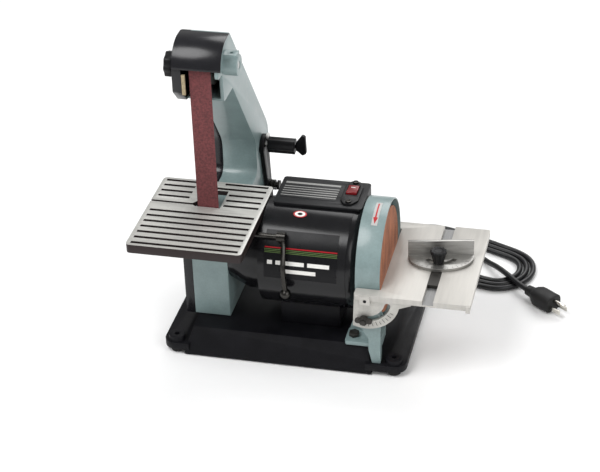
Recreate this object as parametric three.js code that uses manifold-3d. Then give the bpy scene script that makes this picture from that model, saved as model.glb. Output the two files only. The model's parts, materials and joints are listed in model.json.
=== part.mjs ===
// A combination bench sander: a narrow upright belt on the left, a disc with a mitre table on the right.
// Millimetres, +Z up, +X towards the disc. The working frame has the motor's axis at y = 0 and the
// middle of the base at x = 0; the finished group is then moved so that its origin is under its middle.
import * as THREE from 'three';
import { mergeVertices } from 'three/addons/utils/BufferGeometryUtils.js';
import Module from 'manifold-3d';

const wasm = await Module();
wasm.setup();

// ---- driving dimensions ------------------------------------------------------------------------
const GAP = 0.3;                 // clearance between pieces that touch
const WALL = 4;                  // wall of the cast arm
const MOTOR_Z = 114.5;           // height of the motor's axis
const MOTOR_R = 63;
const MOTOR_X = [-30.6, 74];     // ends of the motor's tube
const DISC_R = 63.5;             // a 5 inch disc
const DISC_FACE_X = 113.4;
const BELT_WIDTH = 25.4;         // a 1 inch belt
const BELT_LENGTH = 762;         // a 30 inch belt
const BELT_THICK = 1;
const BELT_X = -96.5;            // middle of the belt
const WHEEL_R = 25;
const WHEEL_WIDTH = 26;
const UPPER = { y: 0, z: 354.5 };
const DRIVE = { y: 0, z: MOTOR_Z };
const IDLER_R = 15;
const IDLER_Z = 176;
const ARM_X = [-117, -73.5];     // the cast arm, from its open side to its outer face
const COVER_X = -128;           // the side cover's outer face
const COVER_KNOB = { y: 0, z: 349.5 };
const BASE = { halfWidth: 148, front: -80, back: 96, skirt: 2, under: 7, plate: 16, hump: 34 };
const FOOT_HOLE = { x: 133, front: -68, back: 84 };
const BELT_TABLE = { x: [-168, -31.5], y: [-124, 33], top: 179, plate: 6, apron: 11 };
const BELT_TABLE_PIVOT = { y: -50, z: 162 };
const DISC_TABLE = { x: [88.5, 223.5], y: [-83.5, 84.5], top: 115, thick: 7, inner: 117.5 };
const DISC_TABLE_PIVOT = { x: 102, z: 108.5 };
const MITRE_SLOT = { x: 174.4, width: 12.9, depth: 5 };
const MITRE_PIVOT_Y = 13;
const MITRE_ANGLE = 11.5;        // degrees that the fence is turned at rest
const SWITCH_BOX = { x: [-23.5, 83], y: [-4.5, 57.5], top: 181 };
const TENSION_PIVOT = { y: 152, z: 111 };
const CORD_R = 3.5;
const ARM_BACK = 175;            // rearmost face of the arm

const BLACK = [0x161616, 0.45, 0];
const TEAL = [0x8fa6a6, 0.5, 0];
const STEEL = [0x9a9a9a, 0.35, 1];
const CAST_ALUMINIUM = [0xd9d4c6, 0.5, 0.8];
const DARK_METAL = [0x3a3430, 0.5, 0.6];
const RUBBER = [0x101010, 0.9, 0];

const machine = new THREE.Group();

// ---- geometry helpers --------------------------------------------------------------------------
function addPart(name, geometry, [color, roughness, metalness], parent = machine) {
  const mesh = new THREE.Mesh(geometry, new THREE.MeshStandardMaterial({ color, roughness, metalness }));
  mesh.name = name;
  parent.add(mesh);
  return mesh;
}

function toSolid(geometry) {
  const bare = geometry.clone();
  bare.deleteAttribute('normal');
  bare.deleteAttribute('uv');
  const merged = mergeVertices(bare, 1e-4);
  return new wasm.Manifold(new wasm.Mesh({
    numProp: 3,
    vertProperties: new Float32Array(merged.attributes.position.array),
    triVerts: new Uint32Array(merged.index.array),
  }));
}

function toGeometry(solid) {
  const mesh = solid.getMesh();
  const geometry = new THREE.BufferGeometry();
  geometry.setAttribute('position', new THREE.BufferAttribute(mesh.vertProperties, 3));
  geometry.setIndex(new THREE.BufferAttribute(mesh.triVerts, 1));
  return geometry;
}

function join(...geometries) {
  return toGeometry(geometries.map(toSolid).reduce((whole, next) => whole.add(next)));
}

function cut(geometry, ...tools) {
  return toGeometry(tools.map(toSolid).reduce((whole, tool) => whole.subtract(tool), toSolid(geometry)));
}

function common(first, second) {
  return toGeometry(toSolid(first).intersect(toSolid(second)));
}

// A block between two opposite corners.
function block([x0, x1], [y0, y1], [z0, z1]) {
  const geometry = new THREE.BoxGeometry(x1 - x0, y1 - y0, z1 - z0);
  return geometry.translate((x0 + x1) / 2, (y0 + y1) / 2, (z0 + z1) / 2);
}

// A solid of revolution about a line along X, from (position along the line, radius) pairs.
function turnedX(profile, y, z, sides = 32) {
  const points = profile.map(([along, radius]) => new THREE.Vector2(radius, along));
  const geometry = new THREE.LatheGeometry([...points, points[0].clone()], sides);
  return geometry.rotateZ(-Math.PI / 2).translate(0, y, z);
}

function turnedZ(profile, x, y, sides = 32) {
  const points = profile.map(([along, radius]) => new THREE.Vector2(radius, along));
  const geometry = new THREE.LatheGeometry([...points, points[0].clone()], sides);
  return geometry.rotateX(Math.PI / 2).translate(x, y, 0);
}

function rodX(radius, [x0, x1], y, z, sides = 20) {
  return turnedX([[x0, 0], [x0, radius], [x1, radius], [x1, 0]], y, z, sides);
}

function ringX(outer, inner, [x0, x1], y, z, sides = 32) {
  return turnedX([[x0, inner], [x0, outer], [x1, outer], [x1, inner]], y, z, sides);
}

function rodY(radius, [y0, y1], x, z, sides = 16) {
  const geometry = new THREE.CylinderGeometry(radius, radius, y1 - y0, sides);
  return geometry.translate(x, (y0 + y1) / 2, z);
}

function rodZ(radius, [z0, z1], x, y, sides = 16) {
  const geometry = new THREE.CylinderGeometry(radius, radius, z1 - z0, sides);
  return geometry.rotateX(Math.PI / 2).translate(x, y, (z0 + z1) / 2);
}

// Corner list helpers: a corner is [u, v, fillet radius].
function cornerFrame(corners, index) {
  const count = corners.length;
  const here = new THREE.Vector2(...corners[index].slice(0, 2));
  const before = new THREE.Vector2(...corners[(index + count - 1) % count].slice(0, 2));
  const after = new THREE.Vector2(...corners[(index + 1) % count].slice(0, 2));
  const arriving = here.clone().sub(before).normalize();
  const leaving = after.clone().sub(here).normalize();
  return { here, arriving, leaving, turn: arriving.cross(leaving) };
}

function roundedShape(corners, stepsPerTurn = 24) {
  const points = [];
  corners.forEach((corner, index) => {
    const { here, arriving, leaving, turn } = cornerFrame(corners, index);
    const angle = Math.acos(THREE.MathUtils.clamp(arriving.dot(leaving), -1, 1));
    const radius = corner[2];
    if (radius < 0.2 || angle < 0.01) {
      points.push(here);
      return;
    }
    const reach = radius * Math.tan(angle / 2);
    const start = here.clone().addScaledVector(arriving, -reach);
    const side = new THREE.Vector2(-arriving.y, arriving.x).multiplyScalar(Math.sign(turn) * radius);
    const centre = start.clone().add(side);
    const steps = Math.max(2, Math.round(stepsPerTurn * angle / (2 * Math.PI)));
    for (let step = 0; step <= steps; step += 1) {
      points.push(start.clone().rotateAround(centre, Math.sign(turn) * angle * step / steps));
    }
  });
  return new THREE.Shape(points);
}

// The same outline moved inwards by a wall thickness; the corners run clockwise.
function insetCorners(corners, wall) {
  return corners.map((corner, index) => {
    const { here, arriving, leaving, turn } = cornerFrame(corners, index);
    const inward = new THREE.Vector2(arriving.y, -arriving.x);
    const slip = wall * Math.tan(Math.atan2(-turn, arriving.dot(leaving)) / 2);
    const moved = here.clone().addScaledVector(inward, wall).addScaledVector(arriving, -slip);
    const radius = turn < 0 ? Math.max(corner[2] - wall, 0) : corner[2] + wall;
    return [moved.x, moved.y, radius];
  });
}

// Extrusions: the shape's own plane is (y, z), (x, z) or (x, y).
const AXES_YZ = new THREE.Matrix4().makeBasis(
  new THREE.Vector3(0, 1, 0), new THREE.Vector3(0, 0, 1), new THREE.Vector3(1, 0, 0));
const AXES_XZ = new THREE.Matrix4().makeBasis(
  new THREE.Vector3(1, 0, 0), new THREE.Vector3(0, 0, 1), new THREE.Vector3(0, -1, 0));

function extrude(shape, depth, curveSegments = 16) {
  return new THREE.ExtrudeGeometry(shape, { depth, bevelEnabled: false, curveSegments });
}

function extrudeX(shape, [x0, x1]) {
  return extrude(shape, x1 - x0).applyMatrix4(AXES_YZ).translate(x0, 0, 0);
}

function extrudeY(shape, [y0, y1]) {
  return extrude(shape, y1 - y0).applyMatrix4(AXES_XZ).translate(0, y1, 0);
}

function extrudeZ(shape, [z0, z1]) {
  return extrude(shape, z1 - z0).translate(0, 0, z0);
}

function rectangle([u0, u1], [v0, v1], radius = 0) {
  return roundedShape([[u0, v0, radius], [u0, v1, radius], [u1, v1, radius], [u1, v0, radius]]);
}

// A tube of round section along a smooth curve.
function tube(curve, radius, steps, sides = 8) {
  const section = new THREE.Shape();
  section.absarc(0, 0, radius, 0, 2 * Math.PI, false);
  return new THREE.ExtrudeGeometry(section, {
    steps, bevelEnabled: false, extrudePath: curve, curveSegments: sides / 2,
  });
}

// A link's outline in (y, z): two round ends and the straight tangents between them.
function linkShape(first, second) {
  return new THREE.Shape(loopPoints([first, second], 0, 44));
}

// A knob's outline: a circle whose edge rises and falls in even lobes.
function lobedShape(radius, depth, lobes, stepsPerLobe = 6) {
  const points = [];
  for (let step = 0; step < lobes * stepsPerLobe; step += 1) {
    const angle = 2 * Math.PI * step / (lobes * stepsPerLobe);
    const reach = radius - depth * (0.5 - 0.5 * Math.cos(lobes * angle));
    points.push(new THREE.Vector2(reach * Math.cos(angle), reach * Math.sin(angle)));
  }
  return new THREE.Shape(points);
}

// ---- the belt's path ---------------------------------------------------------------------------
// The loop runs outside three wheels, so it is their common outer tangent. This gives the tangent
// stretch from one wheel to the next when the loop is followed anticlockwise in the (y, z) plane.
function tangentStretch(from, to, lift) {
  const along = Math.atan2(to.z - from.z, to.y - from.y);
  const distance = Math.hypot(to.y - from.y, to.z - from.z);
  const lean = Math.asin((from.r - to.r) / distance);
  const outward = along - Math.PI / 2 + lean;
  const touch = (wheel) => new THREE.Vector2(
    wheel.y + (wheel.r + lift) * Math.cos(outward), wheel.z + (wheel.r + lift) * Math.sin(outward));
  return { outward, start: touch(from), end: touch(to) };
}

function loopPoints(wheels, lift, stepsPerTurn = 36) {
  const points = [];
  wheels.forEach((wheel, index) => {
    const count = wheels.length;
    const arriving = tangentStretch(wheels[(index + count - 1) % count], wheel, lift).outward;
    const leaving = tangentStretch(wheel, wheels[(index + 1) % count], lift).outward;
    const sweep = THREE.MathUtils.euclideanModulo(leaving - arriving, 2 * Math.PI);
    const steps = Math.max(2, Math.ceil(stepsPerTurn * sweep / (2 * Math.PI)));
    for (let step = 0; step <= steps; step += 1) {
      const angle = arriving + sweep * step / steps;
      points.push(new THREE.Vector2(
        wheel.y + (wheel.r + lift) * Math.cos(angle), wheel.z + (wheel.r + lift) * Math.sin(angle)));
    }
  });
  return points;
}

function loopLength(points) {
  const count = points.length;
  return points.reduce((sum, point, index) => sum + point.distanceTo(points[(index + 1) % count]), 0);
}

// The idler stands as far back as the belt's length lets it.
function beltWheels() {
  const wheelsAt = (y) => [
    { ...DRIVE, r: WHEEL_R }, { y, z: IDLER_Z, r: IDLER_R }, { ...UPPER, r: WHEEL_R },
  ];
  let [near, far] = [80, 200];
  for (let round = 0; round < 40; round += 1) {
    const middle = (near + far) / 2;
    if (loopLength(loopPoints(wheelsAt(middle), BELT_THICK / 2, 400)) < BELT_LENGTH) near = middle;
    else far = middle;
  }
  return wheelsAt(near);
}

const WHEELS = beltWheels();
const IDLER = WHEELS[1];

// ---- base --------------------------------------------------------------------------------------
function humpProfileAlongY(inset) {
  return new THREE.Shape([
    new THREE.Vector2(BASE.front + inset, BASE.skirt),
    new THREE.Vector2(BASE.front + 14 + inset, BASE.hump - inset),
    new THREE.Vector2(BASE.back - 12 - inset, BASE.hump - inset),
    new THREE.Vector2(BASE.back - inset, BASE.under),
  ]);
}

function humpProfileAlongX(inset) {
  return new THREE.Shape([
    new THREE.Vector2(-122 + inset, BASE.skirt),
    new THREE.Vector2(-112 + inset, BASE.hump - inset),
    new THREE.Vector2(100 - inset, BASE.hump - inset),
    new THREE.Vector2(108 - inset, BASE.skirt),
  ]);
}

function hump(inset) {
  return common(
    extrudeX(humpProfileAlongY(inset), [-130, 110]),
    extrudeY(humpProfileAlongX(inset), [BASE.front, BASE.back]));
}

function footPlaces() {
  const sides = [-FOOT_HOLE.x, FOOT_HOLE.x];
  return [FOOT_HOLE.front, FOOT_HOLE.back].flatMap((y) => sides.map((x) => [x, y]));
}

function addBase() {
  const wide = [-BASE.halfWidth, BASE.halfWidth];
  const plate = cut(
    extrudeZ(rectangle(wide, [BASE.front, BASE.back], 14), [BASE.under, BASE.plate]),
    block([-116, 100], [BASE.front - 1, BASE.front + 9], [0, 20]));
  const bosses = footPlaces().map(([x, y]) => rodZ(10, [BASE.under, BASE.plate + 6], x, y));
  const hollow = rectangle([wide[0] + 28, wide[1] - 46], [BASE.front + 8, BASE.back - 8], 6);
  const under = extrudeZ(hollow, [BASE.under - 1, BASE.plate - 5]);
  const inside = hump(5).translate(0, 0, -GAP);
  const holes = footPlaces().map(([x, y]) => rodZ(3.2, [0, 30], x, y, 16));
  addPart('base', cut(join(plate, hump(0), ...bosses), under, inside, ...holes), BLACK);
  footPlaces().forEach(([x, y], index) => {
    const foot = turnedZ([[0, 0], [0, 7.6], [1.2, 8.7], [6.7, 8.2], [6.7, 0]], x, y, 16);
    addPart(`rubber_foot_${index + 1}`, foot, RUBBER);
  });
}

// ---- cast arm that carries the belt --------------------------------------------------------------
// The arm's two leaning faces, each given by two points in (y, z).
const REAR_FACE = { low: [195, 160], high: [54, 344] };
const THROAT_FACE = { low: [114, 191.5], high: [25, 312] };
const HEAD_R = 31.5;

function leaningY({ low, high }, z) {
  return low[0] + (high[0] - low[0]) * (z - low[1]) / (high[1] - low[1]);
}

function leaningZ({ low, high }, y) {
  return low[1] + (high[1] - low[1]) * (y - low[0]) / (high[0] - low[0]);
}

function armCorners() {
  const headTop = UPPER.z + HEAD_R;
  return [
    [-39, BASE.hump + GAP, 2], [-39, 146, 6], [114, 146, 14],
    [114, leaningZ(THROAT_FACE, 114), 30], [leaningY(THROAT_FACE, 312), 312, 2], [-12, 312, 3],
    [-14, UPPER.z - 6, 4], [-HEAD_R, UPPER.z - 6, 4], [-HEAD_R, headTop, HEAD_R - 0.4],
    [leaningY(REAR_FACE, headTop), headTop, 18], [ARM_BACK, leaningZ(REAR_FACE, ARM_BACK), 40],
    [ARM_BACK, 98, 16], [62, 64, 12], [62, BASE.hump + GAP, 2],
  ];
}

function addArm() {
  const [open, face] = ARM_X;
  const outline = extrudeX(roundedShape(armCorners()), ARM_X);
  const hollow = extrudeX(roundedShape(insetCorners(armCorners(), WALL)), [open - 5, face - WALL]);
  const headFront = block([open - 5, face - WALL], [-60, -4], [316, UPPER.z + 20]);
  const beltPass = block([-113, -80], [-36, -16], [130, 150]);
  const shaftHole = rodX(16, [face - 10, face + 10], DRIVE.y, DRIVE.z);
  const boss = rodX(12.5, [face - 2, face + 16.5], UPPER.y, UPPER.z, 28);
  const pad = block([face - 2, face + 15.5], [-7, 7], [UPPER.z + 5, UPPER.z + 15]);
  const setScrewHole = rodZ(2, [UPPER.z + 8, UPPER.z + 20], face + 8, 0, 12);
  const axleHole = rodX(4.4, [face - 10, face + 30], UPPER.y, UPPER.z, 24);
  const slot = idlerSlot([face - 10, face + 10]);
  const pivotHole = rodX(4.3, [face - 10, face + 10], TENSION_PIVOT.y, TENSION_PIVOT.z, 20);
  const body = join(cut(outline, hollow, headFront, beltPass), boss, pad);
  addPart('belt_arm_casting', cut(body, shaftHole, setScrewHole, axleHole, slot, pivotHole), TEAL);
}

// Points of an arc in (y, z) about a centre; the angles are in radians.
function arcAbout(centre, radius, from, to, steps) {
  return Array.from({ length: steps + 1 }, (_, step) => {
    const angle = from + (to - from) * step / steps;
    return new THREE.Vector2(centre.y + radius * Math.cos(angle), centre.z + radius * Math.sin(angle));
  });
}

// The idler's axle swings about the tension pivot in an arc slot through the arm's face.
function idlerSlot(reach) {
  const radius = Math.hypot(IDLER.y - TENSION_PIVOT.y, IDLER.z - TENSION_PIVOT.z);
  const rest = Math.atan2(IDLER.z - TENSION_PIVOT.z, IDLER.y - TENSION_PIVOT.y);
  const [first, last] = [rest - 0.12, rest + 0.22];
  const outline = new THREE.Shape([
    ...arcAbout(TENSION_PIVOT, radius + 5, first, last, 6),
    ...arcAbout(TENSION_PIVOT, radius - 5, last, first, 6),
  ]);
  return extrudeX(outline, reach);
}

function coverCorners() {
  const corners = armCorners();
  const headFront = corners.findIndex(([y]) => y === -14);
  corners.splice(headFront, 2, [-HEAD_R, 330, 5]);
  corners[headFront - 1] = [-14, 312, 4];
  return corners;
}

function addBeltCover() {
  const span = [COVER_X, ARM_X[0] - GAP];
  const outside = extrudeX(roundedShape(coverCorners()), span);
  const inside = extrudeX(roundedShape(insetCorners(coverCorners(), 3)), [COVER_X + 3, span[1] + 1]);
  const knobHole = rodX(3.4, [COVER_X - 5, span[1] + 5], COVER_KNOB.y, COVER_KNOB.z);
  const beltPass = block([-116.9, -80], [-36, -16], [130, 150]);
  addPart('belt_side_cover', cut(outside, inside, knobHole, beltPass), BLACK);
  addPart('cover_seal', block([-116.9, -113], [-31.3, -29], [327, 352]), [0xa89070, 0.9, 0]);
  addCoverKnob();
}

function addCoverKnob() {
  const { y, z } = COVER_KNOB;
  const grip = extrudeX(lobedShape(15.5, 1.6, 8), [COVER_X - 15, COVER_X - 6]).translate(0, y, z);
  const hub = rodX(9, [COVER_X - 7, COVER_X - GAP], y, z);
  const stem = rodX(3, [COVER_X - 2, COVER_X + 6], y, z);
  addPart('cover_knob', join(grip, hub, stem), BLACK);
}

// A bent sheet over the head, from below its front to just behind its top.
function addHeadGuard() {
  const inner = HEAD_R + GAP;
  const outer = inner + 1.5;
  const [front, top] = [THREE.MathUtils.degToRad(172), THREE.MathUtils.degToRad(88)];
  const outline = new THREE.Shape([
    ...arcAbout(UPPER, outer, front, top, 16),
    new THREE.Vector2(12, UPPER.z + outer - 0.2),
    new THREE.Vector2(12, UPPER.z + inner),
    ...arcAbout(UPPER, inner, top, front, 16),
  ]);
  addPart('head_guard', extrudeX(outline, [COVER_X + 0.2, -70]), BLACK);
}

// ---- belt, wheels and tension --------------------------------------------------------------------
function wheelProfile(radius, bore, crown) {
  const [left, right] = [BELT_X - WHEEL_WIDTH / 2, BELT_X + WHEEL_WIDTH / 2];
  return [
    [left, bore], [left, radius - 1.5], [left + 1, radius - crown], [BELT_X - 4, radius],
    [BELT_X + 4, radius], [right - 1, radius - crown], [right, radius - 1.5], [right, bore],
  ];
}

function addSandingBelt() {
  const outer = new THREE.Shape(loopPoints(WHEELS, BELT_THICK + 0.15));
  outer.holes.push(new THREE.Path(loopPoints(WHEELS, 0.15).reverse()));
  const half = BELT_WIDTH / 2;
  addPart('sanding_belt', extrudeX(outer, [BELT_X - half, BELT_X + half]), [0x5b2524, 0.9, 0]);
}

function addWheel(name, { y, z }, radius, bore, crown, sides) {
  addPart(name, turnedX(wheelProfile(radius, bore, crown), y, z, sides), CAST_ALUMINIUM);
}

function addWheels() {
  addWheel('upper_wheel', UPPER, WHEEL_R, 4.6, 0.4, 32);
  addWheel('drive_wheel', DRIVE, WHEEL_R, 6 + GAP, 0.4, 32);
  addWheel('idler_wheel', IDLER, IDLER_R, 4.6, 0.3, 24);
  addPart('upper_axle', rodX(4, [-112, ARM_X[1] + 16], UPPER.y, UPPER.z, 24), STEEL);
}

// The idler hangs on a swinging link outside the arm.
const LINK_X = [ARM_X[1] + 0.6, ARM_X[1] + 5.6];

function addTension() {
  const { y, z } = TENSION_PIVOT;
  const link = linkShape({ y, z, r: 9 }, { y: IDLER.y, z: IDLER.z, r: 13 });
  const pivotBore = rodX(4.4, [-100, -40], y, z, 20);
  const axleBore = rodX(4.3, [-100, -40], IDLER.y, IDLER.z, 20);
  addPart('tension_arm', cut(extrudeX(link, LINK_X), pivotBore, axleBore), DARK_METAL);
  const shank = rodX(4, [ARM_X[1] - 5, LINK_X[1] + 13], y, z, 24);
  const head = rodX(7, [LINK_X[1] + 10, LINK_X[1] + 13], y, z, 6);
  addPart('tension_pivot_pin', join(shank, head), STEEL);
  const axleX = [BELT_X - WHEEL_WIDTH / 2 - 2, LINK_X[1] + 6];
  addPart('idler_axle', rodX(4, axleX, IDLER.y, IDLER.z, 24), STEEL);
}

function addTracking() {
  const { y, z } = IDLER;
  const cap = roundedShape([
    [y + 4, z + 1, 1], [y - 2, z + 13, 2], [y + 11, z + 13, 7], [y + 11, z + 1, 2],
  ]);
  const knobClearance = rodX(7, [-100, -40], y, z, 20);
  const capX = [LINK_X[1] + GAP, LINK_X[1] + 3];
  addPart('tracking_plate', cut(extrudeX(cap, capX), knobClearance), [0xb9bcb8, 0.5, 0.5]);
  const [start, end] = [LINK_X[1] + 3.4, LINK_X[1] + 38];
  const grip = extrudeX(lobedShape(10, 2.2, 6), [start, end]).translate(0, y, z);
  const axleBore = rodX(4.4, [start - 1.4, start + 4.6], y, z, 20);
  const lockBore = rodX(3, [end - 8, end + 2], y, z, 20);
  addPart('tracking_knob', cut(grip, axleBore, lockBore), BLACK);
  addTrackingLock(end);
}

// A winged lock at the tracking knob's end.
function addTrackingLock(x) {
  const stem = rodX(2.6, [x - 6, x + 4], IDLER.y, IDLER.z, 16);
  const wing = roundedShape([
    [x + 1, IDLER.z - 4, 1], [x + 1, IDLER.z + 6, 2], [x + 9, IDLER.z + 17, 2], [x + 13, IDLER.z + 15, 2],
    [x + 14, IDLER.z - 8, 2], [x + 9, IDLER.z - 11, 2],
  ]);
  addPart('tracking_lock', join(stem, extrudeY(wing, [IDLER.y - 2.5, IDLER.y + 2.5])), BLACK);
}

class HelixAboutX extends THREE.Curve {
  constructor(radius, x0, x1, turns, y, z) {
    super();
    Object.assign(this, { radius, x0, x1, turns, y, z });
  }

  getPoint(t, target = new THREE.Vector3()) {
    const angle = 2 * Math.PI * this.turns * t;
    const x = this.x0 + (this.x1 - this.x0) * t;
    return target.set(x, this.y + this.radius * Math.cos(angle), this.z + this.radius * Math.sin(angle));
  }
}

function addTensionSpring() {
  const x = LINK_X[1];
  const coil = new HelixAboutX(6, x + 1.3, x + 8.6, 3, TENSION_PIVOT.y, TENSION_PIVOT.z);
  addPart('tension_spring', tube(coil, 0.9, 36, 6), STEEL);
}

function addPlaten() {
  const face = block([-108, -85], [-24.5, -21.5], [149, 262]);
  const foot = block([-108, -85], [-24.5, 22], [146 + GAP, 149.5]);
  const boltHole = rodZ(2.3, [140, 160], BELT_X, 10, 12);
  addPart('platen', cut(join(face, foot), boltHole), STEEL);
  const boltHead = rodZ(4.2, [149.8, 153], BELT_X, 10, 6);
  const boltShank = rodZ(2, [147, 150], BELT_X, 10, 12);
  addPart('platen_bolt', join(boltHead, boltShank), STEEL);
}

// ---- motor -------------------------------------------------------------------------------------
function addMotorShell() {
  const [left, right] = MOTOR_X;
  const inside = rodX(MOTOR_R - 3, [left - 1, right + 1], DRIVE.y, MOTOR_Z, 40);
  addPart('motor_housing', cut(rodX(MOTOR_R, [left, right], DRIVE.y, MOTOR_Z, 40), inside), BLACK);
  const rightBell = turnedX([
    [right + GAP, 16.3], [right + GAP, MOTOR_R], [right + 5, MOTOR_R - 0.8], [right + 9, MOTOR_R - 3.5],
    [right + 11.5, MOTOR_R - 9], [right + 12, MOTOR_R - 16], [right + 12, 8], [right + 9, 8],
    [right + 9, 16.3],
  ], 0, MOTOR_Z, 40);
  addPart('motor_end_bell_right', rightBell, BLACK);
  const leftBell = turnedX([
    [ARM_X[1] + GAP, 16.3], [ARM_X[1] + GAP, 40], [-50, 50], [left - GAP, 50], [left - GAP, 46],
    [-50, 46], [-66, 36], [-66, 16.3],
  ], 0, MOTOR_Z, 32);
  addPart('motor_end_bell_left', leftBell, BLACK);
}

function addMotorInside() {
  const right = MOTOR_X[1];
  const core = [-22, 48];
  addPart('motor_shaft', rodX(6, [-112, 100], 0, MOTOR_Z, 28), STEEL);
  addPart('stator', ringX(MOTOR_R - 3 - GAP, 33, core, 0, MOTOR_Z), [0x6b4a34, 0.6, 0.3]);
  addPart('rotor', ringX(32, 6 + GAP, core, 0, MOTOR_Z), STEEL);
  addPart('bearing_left', ringX(16, 6 + GAP, [-73, -66.5], 0, MOTOR_Z, 32), STEEL);
  addPart('bearing_right', ringX(16, 6 + GAP, [right + 1, right + 8.5], 0, MOTOR_Z, 32), STEEL);
  const fanDisc = ringX(28, 6 + GAP, [58, 61], 0, MOTOR_Z, 32);
  const blades = [0, 1, 2, 3, 4, 5].map((index) => block([60.5, 68], [-1.2, 1.2], [8, 27])
    .rotateX(index * Math.PI / 3).translate(0, 0, MOTOR_Z));
  addPart('cooling_fan', join(fanDisc, ...blades), BLACK);
}

function addMotorSaddle() {
  const saddle = block([-10, 62], [-38, 38], [BASE.hump + GAP, 70]);
  const seat = rodX(MOTOR_R + GAP, [-40, 90], 0, MOTOR_Z, 40);
  addPart('motor_saddle', cut(saddle, seat), BLACK);
}

// ---- switch ------------------------------------------------------------------------------------
const SCREW_PLACES = [[64.8, 52], [64.8, 7]];

function switchScrewHoles() {
  return SCREW_PLACES.map(([x, y]) => rodZ(2.1, [170, 190], x, y, 16));
}

function switchWindow() {
  return block([57.3, 71.7], [24, 46], [SWITCH_BOX.top - 5, SWITCH_BOX.top + 5]);
}

// A box whose underside is shaped to the motor's drum.
function addSwitchBox() {
  const { x, y, top } = SWITCH_BOX;
  const outside = extrudeZ(rectangle(x, y, 4), [120, top]);
  const inside = block([x[0] + 3, x[1] - 3], [y[0] + 3, y[1] - 3], [110, top - 3]);
  const drum = rodX(MOTOR_R + GAP, [-60, 120], 0, MOTOR_Z, 40);
  const cordHole = rodY(6, [y[1] - 6, y[1] + 6], CORD_EXIT.x, CORD_EXIT.z, 20);
  const box = cut(outside, join(inside, drum), switchWindow(), cordHole, ...switchScrewHoles());
  addPart('switch_box', box, BLACK);
}

function addSwitchPlate() {
  const { top } = SWITCH_BOX;
  const outline = roundedShape([
    [54.3, 12, 3], [54.3, 46, 3], [60, 56, 3], [69, 56, 3], [75.3, 46, 3],
    [75.3, 12, 3], [69, 2.5, 3], [60, 2.5, 3],
  ]);
  const plate = extrudeZ(outline, [top + GAP, top + 2.2]);
  addPart('switch_plate', cut(plate, switchWindow(), ...switchScrewHoles()), BLACK);
  SCREW_PLACES.forEach(([x, y], index) => {
    const shank = rodZ(1.7, [top - 1, top + 3], x, y, 12);
    const head = rodZ(3.4, [top + 2.5, top + 4], x, y, 16);
    const groove = block([x - 2.4, x + 2.4], [y - 0.5, y + 0.5], [top + 3.2, top + 5]);
    addPart(`switch_screw_${index + 1}`, cut(join(shank, head), groove), STEEL);
  });
}

function addRocker() {
  const { top } = SWITCH_BOX;
  const profile = roundedShape([
    [25, top - 2.5, 1], [25, top + 5.2, 1.5], [35, top + 2.6, 20], [45, top + 3.6, 1.5], [45, top - 2.5, 1],
  ]);
  addPart('rocker_switch', extrudeX(profile, [58.2, 70.8]), [0xb01818, 0.35, 0]);
}

// ---- disc side ---------------------------------------------------------------------------------
function addDisc() {
  const plate = turnedX([
    [92, 6 + GAP], [92, 15], [103, 15], [103, DISC_R - 0.5], [112, DISC_R - 0.5], [112, 0], [101, 0],
    [101, 6 + GAP],
  ], 0, MOTOR_Z, 40);
  addPart('disc_plate', plate, CAST_ALUMINIUM);
  addPart('disc_abrasive', rodX(DISC_R, [112 + GAP, DISC_FACE_X], 0, MOTOR_Z, 40), [0xb07050, 0.9, 0]);
  addDiscGuard();
}

// The guard's rim is a circle stretched upwards, so that it clears the disc's top more than its sides.
function addDiscGuard() {
  const outline = (r) => linkShape({ y: 0, z: MOTOR_Z - 1.5, r }, { y: 0, z: MOTOR_Z + 6, r });
  const outside = extrudeX(outline(68), [87, 116]);
  const inside = extrudeX(outline(66), [89, 120]);
  const shaftHole = rodX(22, [80, 100], 0, MOTOR_Z, 28);
  addPart('disc_guard', cut(outside, inside, shaftHole), TEAL);
}

function addDiscTable() {
  const { x, y, top, thick, inner } = DISC_TABLE;
  const under = top - thick;
  const { x: px, z: pz } = DISC_TABLE_PIVOT;
  const outline = roundedShape([
    [x[0], y[0], 3], [x[1], y[0], 3], [x[1], y[1], 3], [x[0], y[1], 3], [x[0], 69, 2], [inner, 69, 1],
    [inner, -69, 1], [x[0], -69, 2],
  ]);
  const plate = extrudeZ(outline, [under, top]);
  const boss = extrudeY(rectangle([px - 6, px + 6], [pz - 5, top - 0.4], 1), [y[0] - 3, y[0] + 1]);
  const stopFace = rectangle([x[1] - 5.2, x[1] - 0.2], [under - 2, top - 0.4], 0.5);
  const stop = extrudeY(stopFace, [y[0] - 2, y[0] + 1]);
  const slotX = [MITRE_SLOT.x - MITRE_SLOT.width / 2, MITRE_SLOT.x + MITRE_SLOT.width / 2];
  const slot = block(slotX, [-100, 100], [top - MITRE_SLOT.depth, top + 1]);
  const bevel = new THREE.Shape([
    new THREE.Vector2(inner - 1, top - 1.5), new THREE.Vector2(inner, top - 1.5),
    new THREE.Vector2(inner + thick - 1.5 + 1, under - 1), new THREE.Vector2(inner - 1, under - 1),
  ]);
  const pinHole = rodY(2.2, [-100, -73], px, pz, 16);
  const eyePocket = join(
    rodY(5.6, [-76.9, -70], px, pz, 24), block([px - 5, px + 7.5], [-76.9, -70], [under - 1, pz + 1.4]));
  const table = cut(join(plate, boss, stop), slot, extrudeY(bevel, [-67, 67]), pinHole, eyePocket);
  addPart('disc_table', table, CAST_ALUMINIUM);
}

// A place in (x, z), and an arc of them, about a centre; the angles are in degrees.
function polar(centre, radius, degrees) {
  const angle = THREE.MathUtils.degToRad(degrees);
  return new THREE.Vector2(centre.x + radius * Math.cos(angle), centre.z + radius * Math.sin(angle));
}

function arcPoints(centre, radius, from, to, steps) {
  const stepAngle = (to - from) / steps;
  return Array.from({ length: steps + 1 }, (_, step) => polar(centre, radius, from + stepAngle * step));
}

const TRUNNION_SLOT_R = 26.5;
const STUD = polar(DISC_TABLE_PIVOT, TRUNNION_SLOT_R, -93);

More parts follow.
